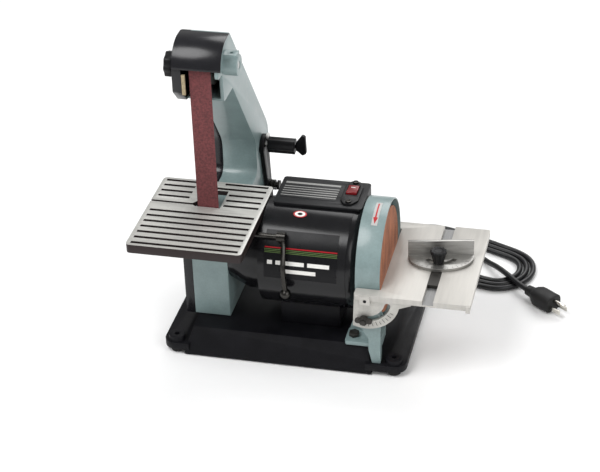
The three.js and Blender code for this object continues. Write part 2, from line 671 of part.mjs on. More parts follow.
function addDiscTrunnion() {
  const pivot = DISC_TABLE_PIVOT;
  const topEdge = DISC_TABLE.top - DISC_TABLE.thick - GAP;
  const outline = new THREE.Shape([
    new THREE.Vector2(88.5, topEdge), ...arcPoints(pivot, 40, -112, -12, 20),
    new THREE.Vector2(147, topEdge - 5), new THREE.Vector2(155, topEdge - 2), new THREE.Vector2(155, topEdge),
  ]);
  const slotEnd = (degrees) => {
    const end = polar(pivot, TRUNNION_SLOT_R, degrees);
    return rodY(3.6, [-90, -70], end.x, end.y, 16);
  };
  const slot = new THREE.Shape([
    ...arcPoints(pivot, TRUNNION_SLOT_R + 3.6, -94, -14, 14),
    ...arcPoints(pivot, TRUNNION_SLOT_R - 3.6, -14, -94, 14),
  ]);
  const slotSolid = join(extrudeY(slot, [-90, -70]), slotEnd(-94), slotEnd(-14));
  const eyeGap = rodY(6.2, [-90, -70], pivot.x, pivot.z, 24);
  addPart('disc_table_trunnion', cut(extrudeY(outline, [-82, -77]), slotSolid, eyeGap), CAST_ALUMINIUM);
}

function addDiscBracket() {
  const pivot = DISC_TABLE_PIVOT;
  const frontY = [-76.2, -71.2];
  const backY = [-46, -41];
  const foot = BASE.hump + GAP;
  const floor = BASE.plate + GAP;
  const front = roundedShape([
    [104, 50, 3], [91, 72, 4], [91, 90, 6], [pivot.x - 4, 104, 3], [pivot.x - 4, pivot.z + 4, 3.9],
    [pivot.x + 4, pivot.z + 4, 3.9], [pivot.x + 4, 102, 3], [118, 80, 8], [118, floor, 1], [108, floor, 1],
    [104, foot, 1],
  ]);
  const back = roundedShape([
    [76, foot, 1], [76, 42, 3], [83, 64, 1], [86.4, 64, 0.5], [86.4, 56, 3], [112, 48, 3], [112, foot, 1],
  ]);
  const flange = extrudeZ(rectangle([74, 112], [-70, backY[1]], 3), [foot, foot + 5]);
  const column = block([104, 118], [frontY[0] + 1, backY[1]], [foot, 47]);
  const rib = block([108.5, 118], [frontY[0] + 1, -66], [floor, 46]);
  const boltHole = rodZ(3.4, [20, 60], 83, -57, 16);
  const studHole = rodY(3.2, [-90, -60], STUD.x, STUD.y, 16);
  const pinHole = rodY(2.2, [-90, -60], pivot.x, pivot.z, 16);
  const body = join(extrudeY(front, frontY), extrudeY(back, backY), flange, column, rib);
  addPart('disc_table_bracket', cut(body, boltHole, studHole, pinHole), TEAL);
  const boltShank = rodZ(3, [foot + 0.5, foot + 8], 83, -57, 16);
  const boltHead = rodZ(6.5, [foot + 5.3, foot + 10], 83, -57, 6);
  addPart('bracket_bolt', join(boltShank, boltHead), STEEL);
}

function addDiscTableClamp() {
  const pivot = DISC_TABLE_PIVOT;
  addPart('disc_table_pivot_pin', rodY(1.9, [-86.4, -70.5], pivot.x, pivot.z, 16), STEEL);
  const studShank = rodY(2.9, [-92, -66], STUD.x, STUD.y, 16);
  const studHead = rodY(5.5, [-70.9, -67], STUD.x, STUD.y, 6);
  addPart('trunnion_stud', join(studShank, studHead), STEEL);
  addWingNut();
}

function addWingNut() {
  const centre = { x: STUD.x, z: STUD.y };
  const hub = rodY(5, [-90, -82 - GAP], centre.x, centre.z, 20);
  const wing = (side) => extrudeY(roundedShape([
    [centre.x, centre.z - 2.4, 0.5], [centre.x + side * 9, centre.z - 3.5, 3],
    [centre.x + side * 12, centre.z + 3.5, 3],
    [centre.x, centre.z + 2.4, 0.5],
  ]), [-88.5, -84.5]);
  const bore = rodY(3.2, [-100, -60], centre.x, centre.z, 16);
  addPart('trunnion_wing_nut', cut(join(hub, wing(-1), wing(1)), bore), DARK_METAL);
}

function addMitreGauge() {
  const { x: sx, width, depth } = MITRE_SLOT;
  const floor = DISC_TABLE.top;
  const half = width / 2 - GAP;
  const knobY = MITRE_PIVOT_Y - 19;
  const bar = block([sx - half, sx + half], [-48, 50], [floor - depth + GAP, floor - 0.2]);
  const pivotPost = rodZ(3, [floor - 1, floor + 4.6], sx, MITRE_PIVOT_Y, 16);
  const screwPost = rodZ(2.4, [floor - 1, floor + 8], sx, knobY, 16);
  addPart('mitre_bar', join(bar, pivotPost, screwPost), BLACK);
  addMitreHead(floor);
  const knob = turnedZ([
    [floor + 4.6, 2.7], [floor + 4.6, 6], [floor + 6, 6.6], [floor + 17, 9.6], [floor + 20, 9.9],
    [floor + 21.5, 8.8],
    [floor + 21.5, 0], [floor + 9, 0], [floor + 9, 2.7],
  ], sx, knobY, 24);
  addPart('mitre_knob', knob, BLACK);
}

function addMitreHead(floor) {
  const plate = new THREE.Shape();
  plate.moveTo(38.7, 3);
  plate.lineTo(-38.7, 3);
  plate.lineTo(-38.7, -3);
  plate.absellipse(0, -3, 38.7, 30, Math.PI, 2 * Math.PI, false);
  const slotPath = (radius, from, to) => arcPoints({ x: 0, z: 0 }, radius, from, to, 12);
  const slot = new THREE.Shape([...slotPath(21.8, -148, -32), ...slotPath(16.2, -32, -148)]);
  const fence = block([-38.7, 38.7], [-1, 3], [0.3, 23]);
  const post = rodZ(3.3, [-1, 8], 0, -0.01, 16);
  const body = cut(join(extrudeZ(plate, [0.3, 4.2]), fence), extrudeZ(slot, [-1, 6]), post);
  const head = new THREE.Group();
  head.position.set(MITRE_SLOT.x, MITRE_PIVOT_Y, floor);
  head.rotation.z = THREE.MathUtils.degToRad(MITRE_ANGLE);
  addPart('mitre_head', body, STEEL, head);
  machine.add(head);
}

// ---- belt table --------------------------------------------------------------------------------
const SLOT_PITCH = 12.3;
const FIRST_SLOT_Y = -117.5;
const SLOT_WIDTH = 4.2;

function tableSlot(x0, x1, row) {
  const y = FIRST_SLOT_Y + row * SLOT_PITCH;
  const half = SLOT_WIDTH / 2;
  return block([x0, x1], [y - half, y + half], [BELT_TABLE.top - 20, BELT_TABLE.top + 1]);
}

// Full slots in front of the belt, and shorter ones on each side of its opening.
function tableSlots() {
  const [left, right] = [BELT_TABLE.x[0] + 5, BELT_TABLE.x[1] - 5];
  const beside = right - 0.5;
  return [
    ...[0, 1, 2, 3, 4, 5, 6].map((row) => tableSlot(left, right, row)),
    ...[8.8, 9.8, 10.8].map((row) => tableSlot(left, -124, row)),
    ...[7.85, 8.85, 9.85].map((row) => tableSlot(-79.5, beside, row)),
    tableSlot(left, -116, 11.75), tableSlot(-90, beside, 11.85), tableSlot(-108, beside, 10.95),
  ];
}

// The belt passes through an opening that is entered by a narrow slit from the table's left edge.
function addBeltTable() {
  const { x, y, top, plate, apron } = BELT_TABLE;
  const outside = extrudeZ(rectangle(x, y, 5), [top - apron, top]);
  const hollow = rectangle([x[0] + 4, x[1] - 4], [y[0] + 4, y[1] - 4], 3);
  const inside = extrudeZ(hollow, [top - apron - 1, top - plate]);
  const opening = new THREE.Shape([
    [x[0] - 1, -24.6], [-116, -24.6], [-112, -27.6], [-82, -27.6], [-82, 12.5], [-111, 12.5],
    [-111, -13], [-117, -21.2], [x[0] - 1, -21.2],
  ].map((point) => new THREE.Vector2(...point)));
  const table = cut(outside, inside, extrudeZ(opening, [top - 20, top + 1]));
  addPart('belt_table', cut(table, ...tableSlots()), CAST_ALUMINIUM);
  addPart('belt_table_trunnion', trunnionEar(), CAST_ALUMINIUM);
}

function trunnionEar() {
  const { y, z } = BELT_TABLE_PIVOT;
  const under = BELT_TABLE.top - BELT_TABLE.plate - GAP;
  const shape = roundedShape([
    [y - 22, under, 0], [y + 22, under, 0], [y + 11, z - 11, 10], [y - 11, z - 11, 10],
  ]);
  return cut(extrudeX(shape, [-66, -60]), rodX(3.4, [-90, -40], y, z, 20));
}

function addBeltTableMount() {
  const { y, z } = BELT_TABLE_PIVOT;
  const outline = roundedShape([
    [y - 9, z + 5.5, 5], [y + 9, z + 5.5, 5], [-18, 140, 6], [-18, 106, 4], [-36, 106, 4],
  ]);
  const plate = extrudeX(outline, [-73.2, -66.4]);
  const neck = rodX(50.6, [-80, -40], 0, MOTOR_Z, 32);
  addPart('belt_table_bracket', cut(plate, neck, rodX(3.4, [-90, -40], y, z, 20)), DARK_METAL);
  const rod = rodX(3, [-78, -3], y, z, 20);
  const hub = rodX(6, [-8, 2], y, z, 24);
  addPart('lock_lever', join(rod, hub, leverHandle(y, z)), BLACK);
}

function leverHandle(y, z) {
  const path = new THREE.CatmullRomCurve3([
    new THREE.Vector3(-2, y, z), new THREE.Vector3(1, y - 8, z - 8), new THREE.Vector3(2.5, -70.5, z - 32),
    new THREE.Vector3(4.5, -71.5, z - 58),
  ]);
  const ball = new THREE.SphereGeometry(6.6, 14, 9).translate(5, -71.8, z - 64);
  return join(tube(path, 3.2, 10, 8), ball);
}

// ---- mains lead --------------------------------------------------------------------------------
// The lead drops from the switch box to the floor by hand-chosen points, lies there in a flattened
// spiral of three turns, and its end then passes over the turns in a low hump to the plug.
const CORD_EXIT = { x: 66, y: SWITCH_BOX.y[1], z: 158 };
const LOOPS = { x: 176, y: 190, reach: 46, outer: 54, pitch: 8.6, turns: 3, axis: -0.38, stepsPerTurn: 24 };
const PLUG = { x: 268, y: 119, z: 11.5, turn: -0.64 };

function loopPoint(step) {
  const { x, y, reach, outer, pitch, axis, stepsPerTurn } = LOOPS;
  const turn = step / stepsPerTurn;
  const angle = Math.PI - 2 * Math.PI * turn;
  const radius = outer - pitch * turn;
  const towardsEnd = THREE.MathUtils.clamp(2 * Math.cos(angle - axis), -1, 1);
  const shift = reach * Math.sin(Math.PI / 2 * towardsEnd);
  return [
    x + radius * Math.cos(angle) + shift * Math.cos(axis),
    y + radius * Math.sin(angle) + shift * Math.sin(axis),
    CORD_R + 0.4,
  ];
}

function cordRoute() {
  const drop = [
    [66, 58, 158], [66, 73, 158], [66, 84, 158], [66, 96, 154.2], [66, 109, 139], [66.5, 119, 115], [67, 128, 84],
    [68.5, 138, 51], [71, 152, 22], [74.5, 170, 8], [77.3, 187, 4.8],
  ];
  const steps = LOOPS.turns * LOOPS.stepsPerTurn + 6;
  const loops = Array.from({ length: steps }, (_, step) => loopPoint(step + 1));
  const end = [
    [196, 196, 3.8], [211, 181, 6.2], [224, 166, 10], [236, 152, 11.5], [250, 136.5, 11.5], [262, 124, 11.5],
    [274.4, 114.2, 11.5],
  ];
  return [...drop, ...loops, ...end].map((point) => new THREE.Vector3(...point));
}

function addCord() {
  const route = new THREE.CatmullRomCurve3(cordRoute(), false, 'centripetal');
  addPart('mains_cord', tube(route, CORD_R, 112, 8), RUBBER);
  addStrainRelief();
  addPlug();
}

function addStrainRelief() {
  const { x, y, z } = CORD_EXIT;
  const sleeve = [
    [y - 5, CORD_R + 0.6], [y - 5, 5.6], [y + GAP, 5.6], [y + GAP, 8], [y + 2.6, 8], [y + 2.6, 6],
    [y + 25, 5], [y + 25, CORD_R + 0.6],
  ].map(([along, radius]) => new THREE.Vector2(radius, along));
  const geometry = new THREE.LatheGeometry([...sleeve, sleeve[0].clone()], 24);
  addPart('strain_relief', geometry.translate(x, 0, z), RUBBER);
}

// A three-pin plug lying on the floor; its own X axis runs from the lead to the pins.
function addPlug() {
  const body = roundedShape([
    [10, -7, 1], [18, -13, 3], [44, -13, 2], [44, 13, 2], [18, 13, 3], [10, 7, 1],
  ]);
  const sleeve = rodX(6, [0, 12], 0, 0, 16);
  const blades = [-7.1, 5.6].map((side) => block([43, 60], [side, side + 1.5], [-6, 0.3]));
  const groundPin = rodX(2.4, [43, 63], 0, 5, 12);
  const shell = join(sleeve, extrudeZ(body, [-11, 11]), ...blades, groundPin);
  const bore = rodX(CORD_R + GAP, [-1, 9], 0, 0, 16);
  const plug = addPart('plug', cut(shell, bore), RUBBER);
  plug.position.set(PLUG.x, PLUG.y, PLUG.z);
  plug.rotation.z = PLUG.turn;
}

addBase();
addArm();
addBeltCover();
addHeadGuard();
addSandingBelt();
addWheels();
addTension();
addTracking();
addTensionSpring();
addPlaten();
addMotorShell();
addMotorInside();
addMotorSaddle();
addSwitchBox();
addSwitchPlate();
addRocker();
addDisc();
addDiscTable();
addDiscTrunnion();
addDiscBracket();
addDiscTableClamp();
addMitreGauge();
addBeltTable();
addBeltTableMount();
addCord();

machine.position.set(-(BELT_TABLE.x[0] + DISC_TABLE.x[1]) / 2, -(BELT_TABLE.y[0] + ARM_BACK) / 2, 0);

export default machine;
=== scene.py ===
"""A belt and disc bench sander: finishes, fine detail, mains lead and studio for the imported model.

Run as a script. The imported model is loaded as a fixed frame, in metres, and each operator dresses
one group of its parts or adds the pieces that belong to it.
"""

import json
from math import cos, pi, radians, sin

import bmesh
import bpy
from mathutils import Matrix, Vector


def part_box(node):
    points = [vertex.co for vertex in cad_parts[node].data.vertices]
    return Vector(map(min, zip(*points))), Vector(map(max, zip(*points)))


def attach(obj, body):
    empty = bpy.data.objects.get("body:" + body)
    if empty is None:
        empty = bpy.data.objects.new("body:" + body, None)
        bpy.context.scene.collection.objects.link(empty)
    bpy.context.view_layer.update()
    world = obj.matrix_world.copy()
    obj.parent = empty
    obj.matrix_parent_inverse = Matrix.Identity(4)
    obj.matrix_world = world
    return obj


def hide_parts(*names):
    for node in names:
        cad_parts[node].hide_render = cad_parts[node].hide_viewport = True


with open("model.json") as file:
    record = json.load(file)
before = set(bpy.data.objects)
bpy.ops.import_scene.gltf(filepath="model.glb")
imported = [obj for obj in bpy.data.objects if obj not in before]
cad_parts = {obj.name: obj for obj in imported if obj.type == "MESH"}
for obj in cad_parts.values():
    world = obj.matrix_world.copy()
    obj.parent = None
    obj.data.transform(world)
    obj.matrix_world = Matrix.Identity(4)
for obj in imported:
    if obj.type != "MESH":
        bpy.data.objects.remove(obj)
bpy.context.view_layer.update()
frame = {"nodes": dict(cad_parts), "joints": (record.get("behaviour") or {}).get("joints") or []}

bl_info = {
    "name": "Belt and disc bench sander",
    "version": (1, 0, 0),
    "blender": (4, 5, 0),
    "location": "View3D > Sidebar > Sander",
    "description": "Finishes and fine detail for a combination bench sander",
    "category": "Object",
}

MM = 0.001


# ---- places worked out from the frame ----------------------------------------------------------


def joint_place(name):
    """The point that a joint turns about."""
    return Vector(next(j["pos_m"] for j in frame["joints"] if j["name"] == name))


MOTOR_AXIS = joint_place("motor_spin")
MITRE_PIVOT = joint_place("mitre_swivel")
MITRE_CLAMP = joint_place("mitre_knob_turn")


def housing_radius():
    """The motor housing's outer radius."""
    low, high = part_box("motor_housing")
    return (high.z - low.z) / 2


# ---- settings ----------------------------------------------------------------------------------


def colour(name, description, default):
    return bpy.props.FloatVectorProperty(
        name=name, description=description, default=default, subtype="COLOR", size=3, min=0, max=1
    )


def length(name, description, default):
    return bpy.props.FloatProperty(
        name=name, description=description, default=default, unit="LENGTH", min=0
    )


class SanderColours(bpy.types.PropertyGroup):
    enamel: colour("Enamel", "Grey-teal enamel on the castings", (0.19, 0.258, 0.258))
    motor: colour("Motor black", "Gloss black on the motor", (0.006, 0.006, 0.007))
    base: colour("Base black", "Satin black on the base", (0.0045, 0.0045, 0.006))
    plastic: colour("Moulded black", "Moulded knobs and switch box", (0.008, 0.008, 0.009))
    belt: colour("Belt grit", "Abrasive of the belt", (0.125, 0.032, 0.034))
    disc: colour("Disc grit", "Abrasive of the disc", (0.38, 0.145, 0.075))
    table: colour("Left table", "Milled top of the belt's table", (0.47, 0.465, 0.44))
    pale_table: colour("Right table", "Pale cast top of the disc's table", (0.47, 0.455, 0.425))
    red: colour("Red", "Rocker and markings", (0.17, 0.006, 0.009))


class SanderSizes(bpy.types.PropertyGroup):
    edge: length("Edge rounding", "Rounding of machined and cast edges", 0.5 * MM)
    label: length("Label thickness", "Thickness of the stuck-on labels", 0.25 * MM)
    cord: length("Lead diameter", "Diameter of the mains lead", 7 * MM)
    screw: length("Screw head", "Radius of the small screw heads", 3 * MM)


class SanderStage(bpy.types.PropertyGroup):
    azimuth: bpy.props.FloatProperty(
        name="Azimuth", description="Camera's turn round the machine", default=radians(14.1), subtype="ANGLE"
    )
    elevation: bpy.props.FloatProperty(
        name="Elevation", description="Camera's height above the horizon", default=radians(31.7),
        subtype="ANGLE",
    )
    roll: bpy.props.FloatProperty(
        name="Roll", description="Camera's tilt about its own axis", default=radians(-2.0), subtype="ANGLE"
    )
    distance: length("Distance", "From the camera to the point it looks at", 2.1073)
    lens: bpy.props.FloatProperty(
        name="Lens", description="Focal length", default=106.3, unit="CAMERA", min=1
    )
    target: bpy.props.FloatVectorProperty(
        name="Target", description="The point the camera looks at", unit="LENGTH", size=3,
        default=(-0.02085, -0.0255, 0.134),
    )
    light: bpy.props.FloatProperty(
        name="Light", description="Strength of the lights", default=1.0, min=0
    )


def colours():
    return bpy.context.scene.sander_colours


def sizes():
    return bpy.context.scene.sander_sizes


# ---- finishes ----------------------------------------------------------------------------------


def shades(base, spread):
    """Darker, plain and lighter tones of one colour."""
    return [tuple(min(1, c * k) for c in base) for k in (1 - spread, 1, 1 + spread)]


GRAIN_SHARE = 0.35  # of a finish's variation; the rest comes from its soft patches
NOISE_RANGE = (0.3, 0.7)  # nearly all of a noise texture's values lie between these
RELIEF_DEPTH = 0.4 * MM
COAT_ROUGHNESS = 0.12


def surface(
        name, tones, rough, metal=0.0, patch=40, grain=900, relief=0.15, stretch=(1, 1, 1), coat=0.0,
        shine=0.5):
    """A finish with three tones in soft patches and a finer grain in its gloss and relief."""
    material = bpy.data.materials.new(name)
    material.use_nodes = True
    tree = material.node_tree
    shader = tree.nodes["Principled BSDF"]
    shader.inputs["Metallic"].default_value = metal
    shader.inputs["Coat Weight"].default_value = coat
    shader.inputs["Specular IOR Level"].default_value = shine
    shader.inputs["Coat Roughness"].default_value = COAT_ROUGHNESS
    place = tree.nodes.new("ShaderNodeTexCoord")
    spacing = tree.nodes.new("ShaderNodeMapping")
    spacing.inputs["Scale"].default_value = stretch
    tree.links.new(place.outputs["Object"], spacing.inputs["Vector"])
    patches = noise(tree, spacing, patch, 4)
    fine = noise(tree, spacing, grain, 3)
    mottle = blended_noise(tree, patches, fine)
    add_tones(tree, mottle, tones)
    add_gloss(tree, mottle, rough)
    add_relief(tree, fine, relief)
    return material


def noise(tree, spacing, scale, detail):
    """A noise texture's value, on spaced-out object coordinates."""
    texture = tree.nodes.new("ShaderNodeTexNoise")
    texture.inputs["Scale"].default_value = scale
    texture.inputs["Detail"].default_value = detail
    tree.links.new(spacing.outputs["Vector"], texture.inputs["Vector"])
    return texture.outputs["Fac"]


def blended_noise(tree, patches, fine):
    """The soft patches and the grain as one value."""
    weighted = tree.nodes.new("ShaderNodeMath")
    weighted.operation = "MULTIPLY"
    weighted.inputs[1].default_value = 1 - GRAIN_SHARE
    tree.links.new(patches, weighted.inputs[0])
    mixed = tree.nodes.new("ShaderNodeMath")
    mixed.operation = "MULTIPLY_ADD"
    mixed.inputs[1].default_value = GRAIN_SHARE
    tree.links.new(fine, mixed.inputs[0])
    tree.links.new(weighted.outputs[0], mixed.inputs[2])
    return mixed.outputs[0]


def add_tones(tree, value, tones):
    """Colours a finish with three tones by a value."""
    ramp = tree.nodes.new("ShaderNodeValToRGB")
    ramp.color_ramp.elements.new(0.5)
    positions = (NOISE_RANGE[0], 0.5, NOISE_RANGE[1])
    for element, position, tone in zip(ramp.color_ramp.elements, positions, tones):
        element.position = position
        element.color = (*tone, 1)
    tree.links.new(value, ramp.inputs["Fac"])
    tree.links.new(ramp.outputs["Color"], tree.nodes["Principled BSDF"].inputs["Base Color"])


def add_gloss(tree, value, rough):
    """Varies a finish's roughness between two limits by a value."""
    gloss = tree.nodes.new("ShaderNodeMapRange")
    gloss.inputs["From Min"].default_value = NOISE_RANGE[0]
    gloss.inputs["From Max"].default_value = NOISE_RANGE[1]
    gloss.inputs["To Min"].default_value = rough[0]
    gloss.inputs["To Max"].default_value = rough[1]
    tree.links.new(value, gloss.inputs["Value"])
    tree.links.new(gloss.outputs["Result"], tree.nodes["Principled BSDF"].inputs["Roughness"])


def add_relief(tree, value, strength):
    """Roughens a finish's surface by a value."""
    bump = tree.nodes.new("ShaderNodeBump")
    bump.inputs["Strength"].default_value = strength
    bump.inputs["Distance"].default_value = RELIEF_DEPTH
    tree.links.new(value, bump.inputs["Height"])
    tree.links.new(bump.outputs["Normal"], tree.nodes["Principled BSDF"].inputs["Normal"])


def banded(name, axis, start, end, bands, rough):
    """A printed finish: plain bands of colour along one axis, each from its own share of the way."""
    grey = shades((0.5, 0.5, 0.5), 0.1)
    material = surface(name, grey, (rough, rough + 0.15), relief=0.03, shine=0.16)
    tree = material.node_tree
    place = tree.nodes.new("ShaderNodeTexCoord")
    split = tree.nodes.new("ShaderNodeSeparateXYZ")
    share = tree.nodes.new("ShaderNodeMapRange")
    share.inputs["From Min"].default_value = start
    share.inputs["From Max"].default_value = end
    ramp = tree.nodes.new("ShaderNodeValToRGB")
    ramp.color_ramp.interpolation = "CONSTANT"
    while len(ramp.color_ramp.elements) < len(bands):
        ramp.color_ramp.elements.new(0.99)
    for element, (position, tone) in zip(ramp.color_ramp.elements, bands):
        element.position = position
        element.color = (*tone, 1)
    tree.links.new(place.outputs["Object"], split.inputs["Vector"])
    tree.links.new(split.outputs[axis], share.inputs["Value"])
    tree.links.new(share.outputs["Result"], ramp.inputs["Fac"])
    tree.links.new(ramp.outputs["Color"], tree.nodes["Principled BSDF"].inputs["Base Color"])
    return material


def enamel():
    tones = shades(colours().enamel, 0.14)
    return surface("Hammered enamel", tones, (0.30, 0.48), patch=55, grain=420, relief=0.22, coat=0.25)


def gloss_black():
    tones = shades(colours().motor, 0.25)
    return surface("Gloss black", tones, (0.15, 0.22), patch=14, grain=120, relief=0.012, shine=0.32)


def satin_black():
    tones = shades(colours().base, 0.4)
    return surface("Satin black", tones, (0.38, 0.58), patch=45, grain=600, relief=0.25, shine=0.16)


def guard_black():
    tones = shades((0.007, 0.007, 0.009), 0.3)
    return surface("Guard black", tones, (0.20, 0.27), patch=14, grain=160, relief=0.012, shine=0.4)


def moulded_black():
    tones = shades(colours().plastic, 0.3)
    return surface("Moulded black", tones, (0.36, 0.5), patch=120, grain=2600, relief=0.2, shine=0.2)


def belt_grit():
    tones = shades(colours().belt, 0.55)
    return surface("Belt grit", tones, (0.75, 0.95), patch=420, grain=1300, relief=0.9)


def disc_grit():
    tones = shades(colours().disc, 0.62)
    return surface("Disc grit", tones, (0.7, 0.95), patch=48, grain=1500, relief=0.9, stretch=(1, 1.6, 0.5))


# painted shade: the dark colour given to every face that doesn't look up, in the table's slots, on its sides
# and underneath
PAINTED_SHADE_COLOUR = (0.020, 0.012, 0.012, 1)
MIX_COLOUR_A = 6  # a Mix node's sockets for colours, which share their names with its other kinds
MIX_COLOUR_B = 7
MIX_COLOUR_RESULT = 2


def paint_shade_on_sides(tree):
    """Keeps a finish's colour on faces that look up, and gives its other faces a dark painted shade."""
    colour_socket = tree.nodes["Principled BSDF"].inputs["Base Color"]
    milled = colour_socket.links[0].from_socket
    place = tree.nodes.new("ShaderNodeTexCoord")
    split = tree.nodes.new("ShaderNodeSeparateXYZ")
    upward = tree.nodes.new("ShaderNodeMapRange")
    upward.inputs["From Min"].default_value = 0.55
    upward.inputs["From Max"].default_value = 0.85
    blend = tree.nodes.new("ShaderNodeMix")
    blend.data_type = "RGBA"
    blend.inputs[MIX_COLOUR_A].default_value = PAINTED_SHADE_COLOUR
    tree.links.new(place.outputs["Normal"], split.inputs["Vector"])
    tree.links.new(split.outputs["Z"], upward.inputs["Value"])
    tree.links.new(upward.outputs["Result"], blend.inputs["Factor"])
    tree.links.new(milled, blend.inputs[MIX_COLOUR_B])
    tree.links.new(blend.outputs[MIX_COLOUR_RESULT], colour_socket)


def milled_table():
    """Bare milled aluminium on top, with a dark painted shade on the sides, in the slots and underneath."""
    tones = shades(colours().table, 0.16)
    material = surface(
        "Milled aluminium", tones, (0.34, 0.55), 0.4, patch=24, grain=700, relief=0.12, stretch=(1, 14, 1))
    paint_shade_on_sides(material.node_tree)
    return material


def pale_table():
    tones = shades(colours().pale_table, 0.12)
    return surface(
        "Pale cast table", tones, (0.36, 0.56), 0.25, patch=20, grain=800, relief=0.12, stretch=(9, 1, 1))


def cast_aluminium():
    tones = shades((0.47, 0.46, 0.43), 0.22)
    return surface("Cast aluminium", tones, (0.42, 0.62), 0.6, patch=80, grain=900, relief=0.35)


def brushed_steel():
    tones = shades((0.33, 0.325, 0.31), 0.28)
    return surface(
        "Brushed steel", tones, (0.34, 0.5), 0.9, patch=40, grain=900, relief=0.12, stretch=(1, 1, 12))


def turned_steel():
    tones = shades((0.52, 0.52, 0.51), 0.2)
    return surface(
        "Turned steel", tones, (0.22, 0.4), 1.0, patch=60, grain=1200, relief=0.1, stretch=(8, 1, 1))


def dark_steel():
    tones = shades((0.035, 0.033, 0.03), 0.45)
    return surface("Dark steel", tones, (0.35, 0.6), 0.6, patch=90, grain=900, relief=0.25)


def varnished_laminations():
    tones = shades((0.22, 0.13, 0.08), 0.3)
    return surface(
        "Varnished laminations", tones, (0.4, 0.6), 0.3, patch=60, grain=900, relief=0.4,
        stretch=(16, 1, 1))


def plated_lever():
    tones = shades((0.045, 0.043, 0.04), 0.4)
    return surface("Dark plating", tones, (0.18, 0.34), 1.0, patch=90, grain=900, relief=0.08)


def black_rubber():
    tones = shades((0.007, 0.007, 0.007), 0.35)
    return surface("Black rubber", tones, (0.45, 0.65), patch=90, grain=1500, relief=0.2, shine=0.3)


def lead_sheath():
    tones = shades((0.005, 0.005, 0.006), 0.3)
    return surface("Lead sheath", tones, (0.3, 0.42), patch=60, grain=1600, relief=0.08, shine=0.4)


def red_plastic():
    tones = shades(colours().red, 0.15)
    return surface("Red plastic", tones, (0.28, 0.38), patch=120, grain=1500, relief=0.04, shine=0.4)


def red_print():
    tones = shades((0.42, 0.014, 0.018), 0.12)
    return surface("Red print", tones, (0.35, 0.5), patch=160, grain=1800, relief=0.03)


def white_print():
    tones = shades((0.72, 0.71, 0.68), 0.06)
    return surface("White print", tones, (0.35, 0.5), patch=120, grain=1500, relief=0.03)


def pale_label():
    tones = shades((0.42, 0.42, 0.41), 0.08)
    return surface("Pale label", tones, (0.35, 0.5), patch=120, grain=1500, relief=0.03)


def tan_felt():
    tones = shades((0.36, 0.29, 0.18), 0.3)
    return surface("Tan felt", tones, (0.85, 0.98), patch=300, grain=2400, relief=0.8)


def nickel():
    tones = shades((0.62, 0.60, 0.55), 0.1)
    return surface("Nickel plate", tones, (0.15, 0.28), 1.0, patch=120, grain=900, relief=0.05)


def worn_slot():
    tones = shades((0.22, 0.22, 0.22), 0.25)
    return surface("Worn slot", tones, (0.4, 0.6), 0.5, patch=60, stretch=(9, 1, 1))


def floor_paper():
    tones = shades((0.93, 0.93, 0.93), 0.01)
    return surface("Pale floor", tones, (0.7, 0.8), patch=3, grain=90, relief=0.02)


# ---- shaping -----------------------------------------------------------------------------------


SHARP = radians(32)
ROUNDED_OVER = radians(34)
FLAT_WITHIN = radians(0.5)
WELD_WITHIN = 0.005 * MM


def shading_group():
    """Geometry nodes that shade faces smooth and keep steep edges sharp."""
    group = bpy.data.node_groups.get("Shade by angle")
    if group:
        return group
    group = bpy.data.node_groups.new("Shade by angle", "GeometryNodeTree")
    group.interface.new_socket("Geometry", in_out="INPUT", socket_type="NodeSocketGeometry")
    group.interface.new_socket("Geometry", in_out="OUTPUT", socket_type="NodeSocketGeometry")
    entry = group.nodes.new("NodeGroupInput")
    faces = group.nodes.new("GeometryNodeSetShadeSmooth")
    faces.domain = "FACE"
    edges = group.nodes.new("GeometryNodeSetShadeSmooth")
    edges.domain = "EDGE"
    edges.inputs["Shade Smooth"].default_value = False
    angle = group.nodes.new("GeometryNodeInputMeshEdgeAngle")
    steep = group.nodes.new("FunctionNodeCompare")
    steep.operation = "GREATER_THAN"
    steep.inputs["B"].default_value = SHARP
    leave = group.nodes.new("NodeGroupOutput")
    group.links.new(angle.outputs["Unsigned Angle"], steep.inputs["A"])
    group.links.new(steep.outputs["Result"], edges.inputs["Selection"])
    group.links.new(entry.outputs["Geometry"], faces.inputs["Geometry"])
    group.links.new(faces.outputs["Geometry"], edges.inputs["Geometry"])
    group.links.new(edges.outputs["Geometry"], leave.inputs["Geometry"])
    return group


def soften(piece, width):
    """Rounds a piece's hard edges a little and shades its curved faces smooth."""
    weld = piece.modifiers.new("Weld", "WELD")
    weld.merge_threshold = WELD_WITHIN
    if width > 0:
        flat = piece.modifiers.new("Flat faces", "DECIMATE")
        flat.decimate_type = "DISSOLVE"
        flat.angle_limit = FLAT_WITHIN
        bevel = piece.modifiers.new("Rounded edges", "BEVEL")
        bevel.width = width
        bevel.segments = 2
        bevel.limit_method = "ANGLE"
        bevel.angle_limit = ROUNDED_OVER
    shading = piece.modifiers.new("Shading", "NODES")
    shading.node_group = shading_group()
    return piece


def dress(material, *nodes, edge=None):
    """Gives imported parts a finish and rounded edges."""
    for name in nodes:
        part = frame["nodes"][name]
        for holder in part.material_slots:
            holder.material = material
        soften(part, sizes().edge if edge is None else edge)


def piece_from(name, mesh_maker, material, body, edge=0.0):
    """A new object whose mesh is filled by mesh_maker, riding on a body."""
    mesh = bpy.data.meshes.new(name)
    shape = bmesh.new()
    mesh_maker(shape)
    bmesh.ops.recalc_face_normals(shape, faces=shape.faces)
    shape.to_mesh(mesh)
    shape.free()
    mesh.materials.append(material)
    piece = bpy.data.objects.new(name, mesh)
    bpy.context.scene.collection.objects.link(piece)
    soften(piece, edge)
    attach(piece, body)
    return piece


